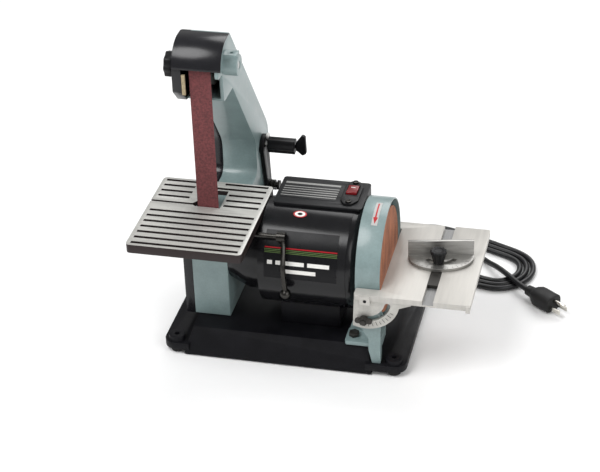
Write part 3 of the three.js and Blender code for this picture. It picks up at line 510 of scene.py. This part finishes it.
def add_prism(shape, outline, low, high, place=Matrix.Identity(4)):
    """An outline in a piece's own x and y, raised from low to high along its z."""
    bottom = [shape.verts.new(place @ Vector((x, y, low))) for x, y in outline]
    top = [shape.verts.new(place @ Vector((x, y, high))) for x, y in outline]
    count = len(outline)
    shape.faces.new(bottom)
    shape.faces.new(top)
    for index in range(count):
        after = (index + 1) % count
        shape.faces.new((bottom[index], bottom[after], top[after], top[index]))


def flute(angle, lobes, depth):
    """How far a fluted edge reaches at an angle, as a share of its radius."""
    return 1 - depth * (0.5 - 0.5 * cos(lobes * angle))


def add_turned(shape, profile, steps, place):
    """A closed profile of (radius, height) turned about a piece's own z."""
    rings = []
    for step in range(steps):
        angle = 2 * pi * step / steps
        rings.append([
            shape.verts.new(place @ Vector((reach * cos(angle), reach * sin(angle), height)))
            for reach, height in profile
        ])
    count = len(profile)
    for step in range(steps):
        here, there = rings[step], rings[(step + 1) % steps]
        for index in range(count):
            after = (index + 1) % count
            shape.faces.new((here[index], here[after], there[after], there[index]))


def add_solid_turned(shape, profile, steps, place, lobes=0, depth=0.0):
    """An open profile from the bottom centre to the top centre, turned into a solid; lobes flute it."""
    bottom = shape.verts.new(place @ Vector((0, 0, profile[0][1])))
    top = shape.verts.new(place @ Vector((0, 0, profile[-1][1])))
    rings = []
    for radius, height in profile:
        ring = []
        for step in range(steps):
            angle = 2 * pi * step / steps
            reach = radius * flute(angle, lobes, depth)
            ring.append(shape.verts.new(place @ Vector((reach * cos(angle), reach * sin(angle), height))))
        rings.append(ring)
    for step in range(steps):
        after = (step + 1) % steps
        shape.faces.new((bottom, rings[0][after], rings[0][step]))
        shape.faces.new((top, rings[-1][step], rings[-1][after]))
    bridge(shape, rings)


def bridge(shape, rings):
    """Faces between each ring of points and the next."""
    steps = len(rings[0])
    for lower, upper in zip(rings, rings[1:]):
        for step in range(steps):
            after = (step + 1) % steps
            shape.faces.new((lower[step], lower[after], upper[after], upper[step]))


def add_wrapped(shape, radius, thickness, centre, start, end, edges_at, steps=24):
    """A thin sheet wrapped round an axis along X; edges_at(share) gives its low and high x."""
    rows = []
    for step in range(steps + 1):
        share = step / steps
        angle = start + (end - start) * share
        low, high = edges_at(share)
        row = []
        for reach in (radius, radius + thickness):
            y = centre.y + reach * cos(angle)
            z = centre.z + reach * sin(angle)
            row += [shape.verts.new((low, y, z)), shape.verts.new((high, y, z))]
        rows.append(row)
    for before, after in zip(rows, rows[1:]):
        for a, b in ((0, 1), (1, 3), (3, 2), (2, 0)):
            shape.faces.new((before[a], before[b], after[b], after[a]))
    for row in (rows[0], rows[-1]):
        shape.faces.new((row[0], row[1], row[3], row[2]))


def facing(place, along):
    """A matrix whose z points along a direction, at a place."""
    turn = Vector(along).to_track_quat("Z", "Y")
    return Matrix.Translation(place) @ turn.to_matrix().to_4x4()


def add_screw(shape, place, along, radius, height):
    """A domed screw head with a raised bar across it, its underside at a place."""
    seat = facing(place, along)
    dome = [(radius, 0), (radius, height * 0.45), (radius * 0.86, height * 0.8), (radius * 0.5, height)]
    add_solid_turned(shape, dome, 20, seat)
    reach, half = radius * 0.7, radius * 0.16
    add_prism(shape, box_outline(-reach, reach, -half, half), height * 0.7, height * 1.08, seat)


def round_outline(radius, steps, squash):
    """A circle, or an oval that is squashed along y."""
    turns = [2 * pi * step / steps for step in range(steps)]
    return [(radius * cos(turn), squash * radius * sin(turn)) for turn in turns]


def box_outline(x0, x1, y0, y1):
    """A rectangle between two places along x and two along y."""
    return [(x0, y0), (x1, y0), (x1, y1), (x0, y1)]


# ---- mains lead --------------------------------------------------------------------------------


# The lead's places are in millimetres, before the shift that centres the machine over its origin.
CORD_SHIFT = Vector((-27.75, -25.5, 0))
CORD_DROP = [
    (66, 58, 158), (66, 73, 158), (66, 84, 158), (66, 96, 154.2), (66, 109, 139), (66.5, 119, 115),
    (67, 128, 84), (68.5, 138, 51), (71, 152, 22), (74.5, 170, 8), (77.3, 187, 4.9),
]
CORD_END = [
    (196, 196, 4.4), (211, 181, 6.2), (224, 166, 10), (236, 152, 11.5), (250, 136.5, 11.5),
    (262, 124, 11.5), (274.4, 114.2, 11.5),
]
LOOPS = {
    "x": 176, "y": 190, "z": 4.2, "reach": 46, "outer": 54, "pitch": 8.6, "turns": 3, "axis": -0.38,
    "steps": 24,
}
LAST_QUARTER = LOOPS["steps"] // 4  # the steps of the loops' unfinished last turn


def loop_point(step):
    """A point on the flattened spiral that the lead lies in, in millimetres."""
    turn = step / LOOPS["steps"]
    angle = pi - 2 * pi * turn
    radius = LOOPS["outer"] - LOOPS["pitch"] * turn
    towards_end = max(-1, min(1, 2 * cos(angle - LOOPS["axis"])))
    shift = LOOPS["reach"] * sin(pi / 2 * towards_end)
    return (
        LOOPS["x"] + radius * cos(angle) + shift * cos(LOOPS["axis"]),
        LOOPS["y"] + radius * sin(angle) + shift * sin(LOOPS["axis"]),
        LOOPS["z"],
    )


def cord_route():
    """The points that the lead runs through, from its strain relief to its plug."""
    count = LOOPS["turns"] * LOOPS["steps"] + LAST_QUARTER
    loops = [loop_point(step + 1) for step in range(count)]
    return [(Vector(point) + CORD_SHIFT) * MM for point in [*CORD_DROP, *loops, *CORD_END]]


def add_cord(material):
    """The lead as one smooth tube through its route."""
    route = cord_route()
    curve = bpy.data.curves.new("mains_lead", "CURVE")
    curve.dimensions = "3D"
    curve.bevel_depth = sizes().cord / 2
    curve.bevel_resolution = 5
    curve.resolution_u = 5
    curve.use_fill_caps = True
    spline = curve.splines.new("BEZIER")
    spline.bezier_points.add(len(route) - 1)
    for knot, point in zip(spline.bezier_points, route):
        knot.co = point
        knot.handle_left_type = knot.handle_right_type = "AUTO"
    curve.materials.append(material)
    cord = bpy.data.objects.new("mains_lead", curve)
    bpy.context.scene.collection.objects.link(cord)
    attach(cord, "frame")
    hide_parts("mains_cord")
    return cord


PLUG_ENTRY = Vector((268, 119, 11.5))
PLUG_TURN = -0.64
PLUG_SECTIONS = [  # how far along, half the width, half the height
    (0, 5.6, 5.6), (5, 6, 6), (9, 6.4, 6.2), (13, 9.4, 8.6), (18, 12.4, 10.4), (24, 12.6, 10.8),
    (38, 12.2, 10.8), (43, 12.6, 10.6), (44, 12.2, 10),
]
PLUG_SQUARENESS = 0.62  # 1 is an oval section, and less is squarer
PLUG_STEPS = 32
BLADE_APART = 6.35  # from the plug's middle
BLADE = box_outline(-0.3, 6, -0.75, 0.75)
BLADE_ENDS = (43.6, 60)
EARTH_PIN = [(2.3, 43.6), (2.3, 60.5), (1.6, 62.4), (0.7, 63)]
EARTH_RISE = 5


def plug_place():
    """The plug's own frame in millimetres: x runs from the lead to the pins."""
    entry = (PLUG_ENTRY + CORD_SHIFT) * MM
    return Matrix.Translation(entry) @ Matrix.Rotation(PLUG_TURN, 4, "Z") @ Matrix.Scale(MM, 4)


def squared(value):
    """A sine or cosine, bulged so that a round section turns squarer."""
    return abs(value) ** PLUG_SQUARENESS * (1 if value >= 0 else -1)


def add_plug_body(shape, place):
    """The plug's moulded body, as a run of squarish sections."""
    rings = []
    for x, wide, tall in PLUG_SECTIONS:
        turns = [2 * pi * step / PLUG_STEPS for step in range(PLUG_STEPS)]
        points = [(x, wide * squared(cos(turn)), tall * squared(sin(turn))) for turn in turns]
        rings.append([shape.verts.new(place @ Vector(point)) for point in points])
    bridge(shape, rings)
    shape.faces.new(rings[0])
    shape.faces.new(rings[-1])


def add_plug_pins(shape, place):
    """Two flat blades and a round earth pin."""
    lying = place @ Matrix.Rotation(pi / 2, 4, "Y")
    for y in (-BLADE_APART, BLADE_APART):
        add_prism(shape, BLADE, *BLADE_ENDS, lying @ Matrix.Translation((0, y, 0)))
    add_solid_turned(shape, EARTH_PIN, 16, lying @ Matrix.Translation((-EARTH_RISE, 0, 0)))


def add_plug(material, plated):
    """The moulded plug and its pins, in place of the plain packed one."""
    place = plug_place()
    shell = piece_from(
        "plug_body", lambda shape: add_plug_body(shape, place), material, "frame")
    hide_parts("plug")
    metal = piece_from(
        "plug_pins", lambda shape: add_plug_pins(shape, place), plated, "frame", 0.3 * MM)
    return [shell, metal]


RELIEF_BORE = 4.1
RELIEF_FLANGE = [(RELIEF_BORE, 0), (5.6, 0), (5.6, 5.3), (8, 5.3), (8, 7.6), (6.2, 8.2)]
RELIEF_END = [(5, 29.8), (RELIEF_BORE, 29.8)]
RELIEF_RIBS = 5
RIB_PITCH = 4


def relief_profile():
    """The strain relief's section: a flange, then ribs that grow narrower along the lead."""
    profile = list(RELIEF_FLANGE)
    for rib in range(RELIEF_RIBS):
        base = 9 + rib * RIB_PITCH
        reach = 6.3 - rib * 0.25
        profile += [(reach, base), (reach, base + 2.2), (reach - 1, base + 2.6), (reach - 1, base + 3.6)]
    return profile + RELIEF_END


def add_strain_relief(material):
    """The ribbed strain relief, in place of the plain packed one."""
    low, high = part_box("strain_relief")
    centre = (low + high) / 2
    seat = Matrix.Translation((centre.x, low.y, centre.z))
    place = seat @ Matrix.Rotation(-pi / 2, 4, "X") @ Matrix.Scale(MM, 4)
    profile = relief_profile()
    relief = piece_from(
        "strain_relief_ribbed", lambda shape: add_turned(shape, profile, 32, place), material, "frame")
    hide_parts("strain_relief")


class SANDER_OT_mains_lead(bpy.types.Operator):
    """Lay the mains lead in its loops, with its plug and strain relief"""

    bl_idname = "sander.mains_lead"
    bl_label = "Mains lead"

    def execute(self, context):
        cord = add_cord(lead_sheath())
        rubber = black_rubber()
        plug = add_plug(rubber, nickel())
        add_strain_relief(rubber)
        return {"FINISHED"}


# ---- castings and belt end ---------------------------------------------------------------------


class SANDER_OT_castings(bpy.types.Operator):
    """Paint the base, the arm, the disc guard and the table bracket"""

    bl_idname = "sander.castings"
    bl_label = "Castings"

    def execute(self, context):
        paint = enamel()
        black = satin_black()
        dress(paint, "belt_arm_casting", "disc_guard", "disc_table_bracket", edge=0.7 * MM)
        dress(black, "base", "motor_saddle", edge=0.9 * MM)
        dress(black_rubber(), *[f"rubber_foot_{number}" for number in range(1, 5)])
        return {"FINISHED"}


class SANDER_OT_belt_end(bpy.types.Operator):
    """Finish the belt, its wheels, its cover and the guard over its head"""

    bl_idname = "sander.belt_end"
    bl_label = "Belt end"

    def execute(self, context):
        grit = belt_grit()
        dress(grit, "sanding_belt", edge=0)
        dress(guard_black(), "belt_side_cover", "head_guard", edge=0.4 * MM)
        dress(moulded_black(), "cover_knob", edge=0.8 * MM)
        dress(tan_felt(), "cover_seal", edge=0)
        dress(turned_steel(), "upper_axle", "idler_axle", edge=0.3 * MM)
        dress(dark_steel(), "upper_wheel", edge=0.3 * MM)
        dress(cast_aluminium(), "drive_wheel", "idler_wheel", edge=0.3 * MM)
        dress(brushed_steel(), "platen", "platen_bolt", edge=0.3 * MM)
        return {"FINISHED"}


class SANDER_OT_tension(bpy.types.Operator):
    """Finish the belt's tension arm, spring and tracking knob"""

    bl_idname = "sander.tension"
    bl_label = "Tension and tracking"

    def execute(self, context):
        dress(moulded_black(), "tension_arm", "tracking_knob", "tracking_lock", edge=0.6 * MM)
        dress(white_print(), "tracking_plate", edge=0.3 * MM)
        dress(dark_steel(), "tension_pivot_pin", "tension_spring", edge=0)
        return {"FINISHED"}


# ---- motor and switch --------------------------------------------------------------------------


def add_motor_label():
    """A plain printed panel on the motor's front: three green lines and a red one, with no lettering."""
    low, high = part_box("motor_housing")
    radius = housing_radius()
    left, right = low.x + 8 * MM, high.x - 10 * MM
    start, end = radians(181), radians(128)
    ink = tuple(colours().motor)
    green = (0.10, 0.16, 0.05)
    red = (0.34, 0.012, 0.016)
    bottom = MOTOR_AXIS.z + radius * sin(start)
    top = MOTOR_AXIS.z + radius * sin(end)
    bands = [(0, ink), (0.590, green), (0.602, ink), (0.622, green), (0.634, ink), (0.654, green),
             (0.666, ink), (0.686, red), (0.708, ink)]
    printed = banded("Motor label", "Z", bottom, top, bands, 0.22)

    def panel(shape):
        gap = 0.05 * MM
        add_wrapped(shape, radius + gap, sizes().label, MOTOR_AXIS, start, end, lambda share: (left, right))

    piece_from("motor_label", panel, printed, "frame")


LABEL_BARS = [  # a row's angle round the motor in degrees, and each bar's ends in millimetres
    (163, [(12, 18), (22, 56), (60, 86)]),
    (172, [(32, 70)]),
]
HALF_BAR = 2.2  # degrees


def add_label_bars():
    """Rows of plain pale bars on the motor's panel, standing for its print."""
    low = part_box("motor_housing")[0]
    radius = housing_radius() + sizes().label + 0.1 * MM

    def bars(shape):
        for degrees, ends in LABEL_BARS:
            start, end = radians(degrees - HALF_BAR), radians(degrees + HALF_BAR)
            for first, last in ends:
                add_wrapped(
                    shape, radius, 0.05 * MM, MOTOR_AXIS, start, end,
                    lambda share: (low.x + first * MM, low.x + last * MM), 3)

    piece_from("motor_label_bars", bars, white_print(), "frame")


def add_round_sticker():
    """A small plain oval sticker, a red ring round white with a dark spot, and no symbol on it."""
    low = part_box("motor_housing")[0]
    angle = radians(106)
    outward = Vector((0, cos(angle), sin(angle)))
    middle = Vector((low.x + 43 * MM, MOTOR_AXIS.y, MOTOR_AXIS.z))
    seat = facing(middle + outward * (housing_radius() + 0.1 * MM), outward)
    layers = [
        ("sticker_ring", red_print(), 8.0 * MM, 0.0, 0.35 * MM),
        ("sticker_white", white_print(), 6.3 * MM, 0.36 * MM, 0.45 * MM),
        ("sticker_spot", moulded_black(), 3.0 * MM, 0.46 * MM, 0.55 * MM),
    ]
    for name, ink, radius, bottom, top in layers:
        outline = round_outline(radius, 32, 0.66)
        piece_from(
            name, lambda shape: add_prism(shape, outline, bottom, top, seat), ink, "frame")


def add_bell_screws():
    """Four screws in the face of the motor's end bell."""
    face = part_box("motor_end_bell_right")[1].x - 0.4 * MM
    middle = Vector((face, MOTOR_AXIS.y, MOTOR_AXIS.z))

    def screws(shape):
        for quarter in range(4):
            angle = pi / 4 + quarter * pi / 2
            place = middle + 44 * MM * Vector((0, cos(angle), sin(angle)))
            add_screw(shape, place, (1, 0, 0), sizes().screw, 1.8 * MM)

    piece_from("bell_screws", screws, turned_steel(), "frame")


class SANDER_OT_motor(bpy.types.Operator):
    """Finish the motor and put on its plain labels"""

    bl_idname = "sander.motor"
    bl_label = "Motor"

    def execute(self, context):
        black = gloss_black()
        dress(black, "motor_housing", "motor_end_bell_right", "motor_end_bell_left", "cooling_fan", edge=0)
        dress(varnished_laminations(), "stator", edge=0)
        dress(turned_steel(), "rotor", "bearing_left", "bearing_right", "motor_shaft", edge=0)
        add_motor_label()
        add_label_bars()
        add_round_sticker()
        add_bell_screws()
        return {"FINISHED"}


def add_rating_plate():
    """A plain plate of ruled lines on the switch box, with no lettering."""
    low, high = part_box("switch_box")
    front, back = low.y + 14 * MM, high.y - 8 * MM
    outline = box_outline(low.x + 5 * MM, low.x + 72 * MM, front, back)
    ink = (0.016, 0.016, 0.017)
    grey = (0.30, 0.30, 0.29)
    bands = [(0, ink)]
    for line in range(5):
        share = 0.10 + 0.13 * line
        bands += [(share, grey), (share + 0.035, ink)]
    bands += [(0.80, grey), (0.90, ink)]
    printed = banded("Rating plate", "Y", front, back, bands, 0.3)
    piece_from(
        "rating_plate",
        lambda shape: add_prism(shape, outline, high.z + 0.02 * MM, high.z + 0.3 * MM),
        printed, "frame", 0.1 * MM)


def add_rocker_mark():
    """The small pale bar moulded on the rocker."""
    low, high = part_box("rocker_switch")
    centre = (low + high) / 2
    outline = box_outline(centre.x - 2.5 * MM, centre.x + 2.5 * MM, high.y - 6.4 * MM, high.y - 5.4 * MM)
    piece_from(
        "rocker_mark",
        lambda shape: add_prism(shape, outline, low.z + 5.0 * MM, low.z + 5.95 * MM),
        white_print(), "power_rocker")


class SANDER_OT_switch(bpy.types.Operator):
    """Finish the switch box, its plate, screws and rocker"""

    bl_idname = "sander.switch"
    bl_label = "Switch"

    def execute(self, context):
        plastic = moulded_black()
        dress(plastic, "switch_box", "switch_plate", edge=0.8 * MM)
        dress(red_plastic(), "rocker_switch", edge=0.5 * MM)
        dress(plated_lever(), "switch_screw_1", "switch_screw_2", edge=0.2 * MM)
        add_rating_plate()
        add_rocker_mark()
        return {"FINISHED"}


# ---- disc end ----------------------------------------------------------------------------------


GUARD_RADIUS = 68 * MM
ARROW_SHAFT = 0.74  # of the arrow's length; the rest is its head


def add_rotation_arrow():
    """A small pale label with a red arrow on the guard's rim, showing which way the disc turns."""
    low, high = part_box("disc_guard")
    radius = GUARD_RADIUS
    centre = Vector((0, MOTOR_AXIS.y, high.z - radius))
    middle = (low.x + high.x) / 2 + 2 * MM
    sides = (middle - 3.6 * MM, middle + 3.6 * MM)

    def edges(share):
        head = 2.7 * MM * (1 - share) / (1 - ARROW_SHAFT) + 0.05 * MM
        half = 0.9 * MM if share < ARROW_SHAFT else head
        return middle - half, middle + half

    def label(shape):
        add_wrapped(
            shape, radius + 0.02 * MM, sizes().label, centre, radians(88), radians(120), lambda share: sides)

    def arrow(shape):
        add_wrapped(shape, radius + 0.3 * MM, 0.1 * MM, centre, radians(90), radians(118), edges, 50)

    piece_from("arrow_label", label, pale_label(), "frame")
    piece_from("arrow_print", arrow, red_print(), "frame")


class SANDER_OT_disc(bpy.types.Operator):
    """Finish the sanding disc and mark the guard with its direction of turning"""

    bl_idname = "sander.disc"
    bl_label = "Disc"

    def execute(self, context):
        dress(cast_aluminium(), "disc_plate", edge=0.4 * MM)
        dress(disc_grit(), "disc_abrasive", edge=0)
        add_rotation_arrow()
        return {"FINISHED"}


class SANDER_OT_left_table(bpy.types.Operator):
    """Finish the belt's slotted table and its lock lever"""

    bl_idname = "sander.left_table"
    bl_label = "Belt table"

    def execute(self, context):
        dress(milled_table(), "belt_table", edge=0.4 * MM)
        dress(cast_aluminium(), "belt_table_trunnion", edge=0.5 * MM)
        dress(dark_steel(), "belt_table_bracket", edge=0.5 * MM)
        dress(plated_lever(), "lock_lever", edge=0)
        return {"FINISHED"}


def add_angle_scale():
    """Degree marks on the disc table's quadrant."""
    pivot = joint_place("disc_table_tilt")
    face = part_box("disc_table_trunnion")[0].y
    upright = Matrix.Rotation(pi / 2, 4, "X")  # an outline's y then runs up, and its z to the front

    def marks(shape):
        for step in range(10):
            angle = radians(-100 + 8 * step)
            inner = (33 if step % 2 else 31.5) * MM
            along = Vector((cos(angle), sin(angle), 0))
            across = Vector((-sin(angle), cos(angle), 0)) * 0.3 * MM
            base = Vector((pivot.x, pivot.z, 0))
            near, far = base + along * inner, base + along * 37 * MM
            corners = [near - across, far - across, far + across, near + across]
            outline = [(corner.x, corner.y) for corner in corners]
            add_prism(shape, outline, 0.02 * MM - face, 0.15 * MM - face, upright)

    piece_from("table_angle_marks", marks, moulded_black(), "right_table")


def add_slot_floor():
    """The worn grey floor of the mitre gauge's slot."""
    low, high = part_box("disc_table")
    half = 6.3 * MM
    x = MITRE_PIVOT.x
    level = high.z - 5 * MM
    outline = box_outline(x - half, x + half, low.y + 3.2 * MM, high.y - 0.2 * MM)
    piece_from(
        "mitre_slot_floor",
        lambda shape: add_prism(shape, outline, level + 0.02 * MM, level + 0.12 * MM),
        worn_slot(), "right_table")


class SANDER_OT_right_table(bpy.types.Operator):
    """Finish the disc's table, its quadrant and its clamp"""

    bl_idname = "sander.right_table"
    bl_label = "Disc table"

    def execute(self, context):
        dress(pale_table(), "disc_table", edge=0.5 * MM)
        dress(cast_aluminium(), "disc_table_trunnion", edge=0.6 * MM)
        dress(dark_steel(), "trunnion_wing_nut", "trunnion_stud", "bracket_bolt", edge=0.4 * MM)
        dress(moulded_black(), "disc_table_pivot_pin", edge=0)
        add_angle_scale()
        add_slot_floor()
        return {"FINISHED"}


# ---- mitre gauge -------------------------------------------------------------------------------


KNOB_PROFILE = [
    (6.0, 0), (6.2, 1), (6.6, 1.6), (7.4, 6), (8.9, 11.6), (9.7, 13.4), (9.9, 15), (9.5, 16.4), (8.4, 16.9),
    (5.5, 16.5), (4.8, 16.1),
]
KNOB_FLUTES = 12


def add_mitre_knob(material):
    """The fluted knob, in place of the plain packed one."""
    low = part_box("mitre_knob")[0]
    place = Matrix.Translation((MITRE_CLAMP.x, MITRE_CLAMP.y, low.z)) @ Matrix.Scale(MM, 4)
    knob = piece_from(
        "mitre_knob_fluted",
        lambda shape: add_solid_turned(shape, KNOB_PROFILE, 96, place, KNOB_FLUTES, 0.09),
        material, "mitre_clamp")
    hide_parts("mitre_knob")


def add_mitre_scale(material):
    """Degree marks round the gauge's half-round head."""
    pivot = Matrix.Translation((MITRE_PIVOT.x, MITRE_PIVOT.y, 0))
    turn = pivot @ Matrix.Rotation(radians(11.5), 4, "Z")
    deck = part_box("mitre_head")[0].z + 3.92 * MM

    def marks(shape):
        for step in range(-6, 7):
            angle = radians(-90 + 10 * step)
            rim = Vector((38.7 * cos(angle), 30 * sin(angle) - 3, 0)) * MM
            inner = rim * (0.84 if step % 3 == 0 else 0.89)
            outer = rim * 0.955
            side = (outer - inner).normalized().cross(Vector((0, 0, 1))) * 0.22 * MM
            outline = [inner - side, outer - side, outer + side, inner + side]
            add_prism(shape, [(p.x, p.y) for p in outline], deck, deck + 0.08 * MM, turn)

    piece_from("mitre_scale", marks, material, "mitre_fence")


class SANDER_OT_mitre(bpy.types.Operator):
    """Finish the mitre gauge, with a fluted knob and a scale of degrees"""

    bl_idname = "sander.mitre"
    bl_label = "Mitre gauge"

    def execute(self, context):
        dress(brushed_steel(), "mitre_head", edge=0.4 * MM)
        dress(dark_steel(), "mitre_bar", edge=0.3 * MM)
        add_mitre_knob(moulded_black())
        add_mitre_scale(dark_steel())
        return {"FINISHED"}


# ---- stage -------------------------------------------------------------------------------------


LIT_POINT = Vector((0, 0, 0.15))
LIGHTS = {  # place and width in metres, power in watts
    "key": ((-0.9, -0.9, 1.9), 1.4, 36),
    "fill": ((1.6, -1.2, 1.2), 1.8, 20),
    "back": ((0.3, 1.6, 1.8), 1.8, 30),
}
WORLD_LIGHT = 0.36


def add_camera(stage):
    """The camera, turned round its target by azimuth, elevation and roll."""
    data = bpy.data.cameras.new("camera")
    data.lens = stage.lens
    data.sensor_width = 36
    data.clip_end = 20
    ahead = Vector((-sin(stage.azimuth), cos(stage.azimuth), 0))
    look = cos(stage.elevation) * ahead - sin(stage.elevation) * Vector((0, 0, 1))
    across = Vector((cos(stage.azimuth), sin(stage.azimuth), 0))
    upward = across.cross(look)
    rolled = cos(stage.roll) * across + sin(stage.roll) * upward
    above = -sin(stage.roll) * across + cos(stage.roll) * upward
    camera = bpy.data.objects.new("camera", data)
    turn = Matrix((rolled, above, -look)).transposed().to_4x4()
    camera.matrix_world = Matrix.Translation(Vector(stage.target) - look * stage.distance) @ turn
    bpy.context.scene.collection.objects.link(camera)
    bpy.context.scene.camera = camera


def add_light(name, place, size, power):
    """A round soft light that faces the middle of the machine."""
    data = bpy.data.lights.new(name, "AREA")
    data.shape = "DISK"
    data.size = size
    data.energy = power
    light = bpy.data.objects.new(name, data)
    light.matrix_world = facing(Vector(place), Vector(place) - LIT_POINT)
    bpy.context.scene.collection.objects.link(light)


def add_floor():
    """The pale floor, its top at height 0."""
    mesh = bpy.data.meshes.new("floor")
    shape = bmesh.new()
    add_prism(shape, box_outline(-6, 6, -6, 6), -0.02, 0)
    bmesh.ops.recalc_face_normals(shape, faces=shape.faces)
    shape.to_mesh(mesh)
    shape.free()
    mesh.materials.append(floor_paper())
    floor = bpy.data.objects.new("floor", mesh)
    bpy.context.scene.collection.objects.link(floor)


def add_world(strength):
    """Even white light from all round."""
    world = bpy.data.worlds.new("studio")
    world.use_nodes = True
    background = world.node_tree.nodes["Background"]
    background.inputs["Color"].default_value = (1, 1, 1, 1)
    background.inputs["Strength"].default_value = strength
    bpy.context.scene.world = world


class SANDER_OT_stage(bpy.types.Operator):
    """Set up the pale floor, the soft lights and the camera"""

    bl_idname = "sander.stage"
    bl_label = "Stage"

    def execute(self, context):
        stage = context.scene.sander_stage
        add_camera(stage)
        add_floor()
        for name, (place, size, power) in LIGHTS.items():
            add_light(name, place, size, power * stage.light)
        add_world(WORLD_LIGHT * stage.light)
        context.scene.view_settings.view_transform = "Standard"
        return {"FINISHED"}


# ---- add-on ------------------------------------------------------------------------------------


OPERATORS = [
    SANDER_OT_stage,
    SANDER_OT_mains_lead,
    SANDER_OT_castings,
    SANDER_OT_belt_end,
    SANDER_OT_tension,
    SANDER_OT_motor,
    SANDER_OT_switch,
    SANDER_OT_disc,
    SANDER_OT_left_table,
    SANDER_OT_right_table,
    SANDER_OT_mitre,
]


class SANDER_PT_panel(bpy.types.Panel):
    """Lists the sander's operators and settings"""

    bl_idname = "SANDER_PT_panel"
    bl_label = "Bench sander"
    bl_space_type = "VIEW_3D"
    bl_region_type = "UI"
    bl_category = "Sander"

    def draw(self, context):
        layout = self.layout
        for operator in OPERATORS:
            layout.operator(operator.bl_idname)
        for group in (colours(), sizes(), context.scene.sander_stage):
            for name in group.bl_rna.properties.keys():
                if name not in {"rna_type", "name"}:
                    layout.prop(group, name)


CLASSES = [SanderColours, SanderSizes, SanderStage, *OPERATORS, SANDER_PT_panel]


def register():
    for each in CLASSES:
        bpy.utils.register_class(each)
    bpy.types.Scene.sander_colours = bpy.props.PointerProperty(type=SanderColours)
    bpy.types.Scene.sander_sizes = bpy.props.PointerProperty(type=SanderSizes)
    bpy.types.Scene.sander_stage = bpy.props.PointerProperty(type=SanderStage)


def unregister():
    del bpy.types.Scene.sander_stage
    del bpy.types.Scene.sander_sizes
    del bpy.types.Scene.sander_colours
    for each in reversed(CLASSES):
        bpy.utils.unregister_class(each)


def main():
    register()
    bpy.ops.sander.stage()
    bpy.ops.sander.mains_lead()
    bpy.ops.sander.castings()
    bpy.ops.sander.belt_end()
    bpy.ops.sander.tension()
    bpy.ops.sander.motor()
    bpy.ops.sander.switch()
    bpy.ops.sander.disc()
    bpy.ops.sander.left_table()
    bpy.ops.sander.right_table()
    bpy.ops.sander.mitre()


if __name__ == "__main__":
    main()
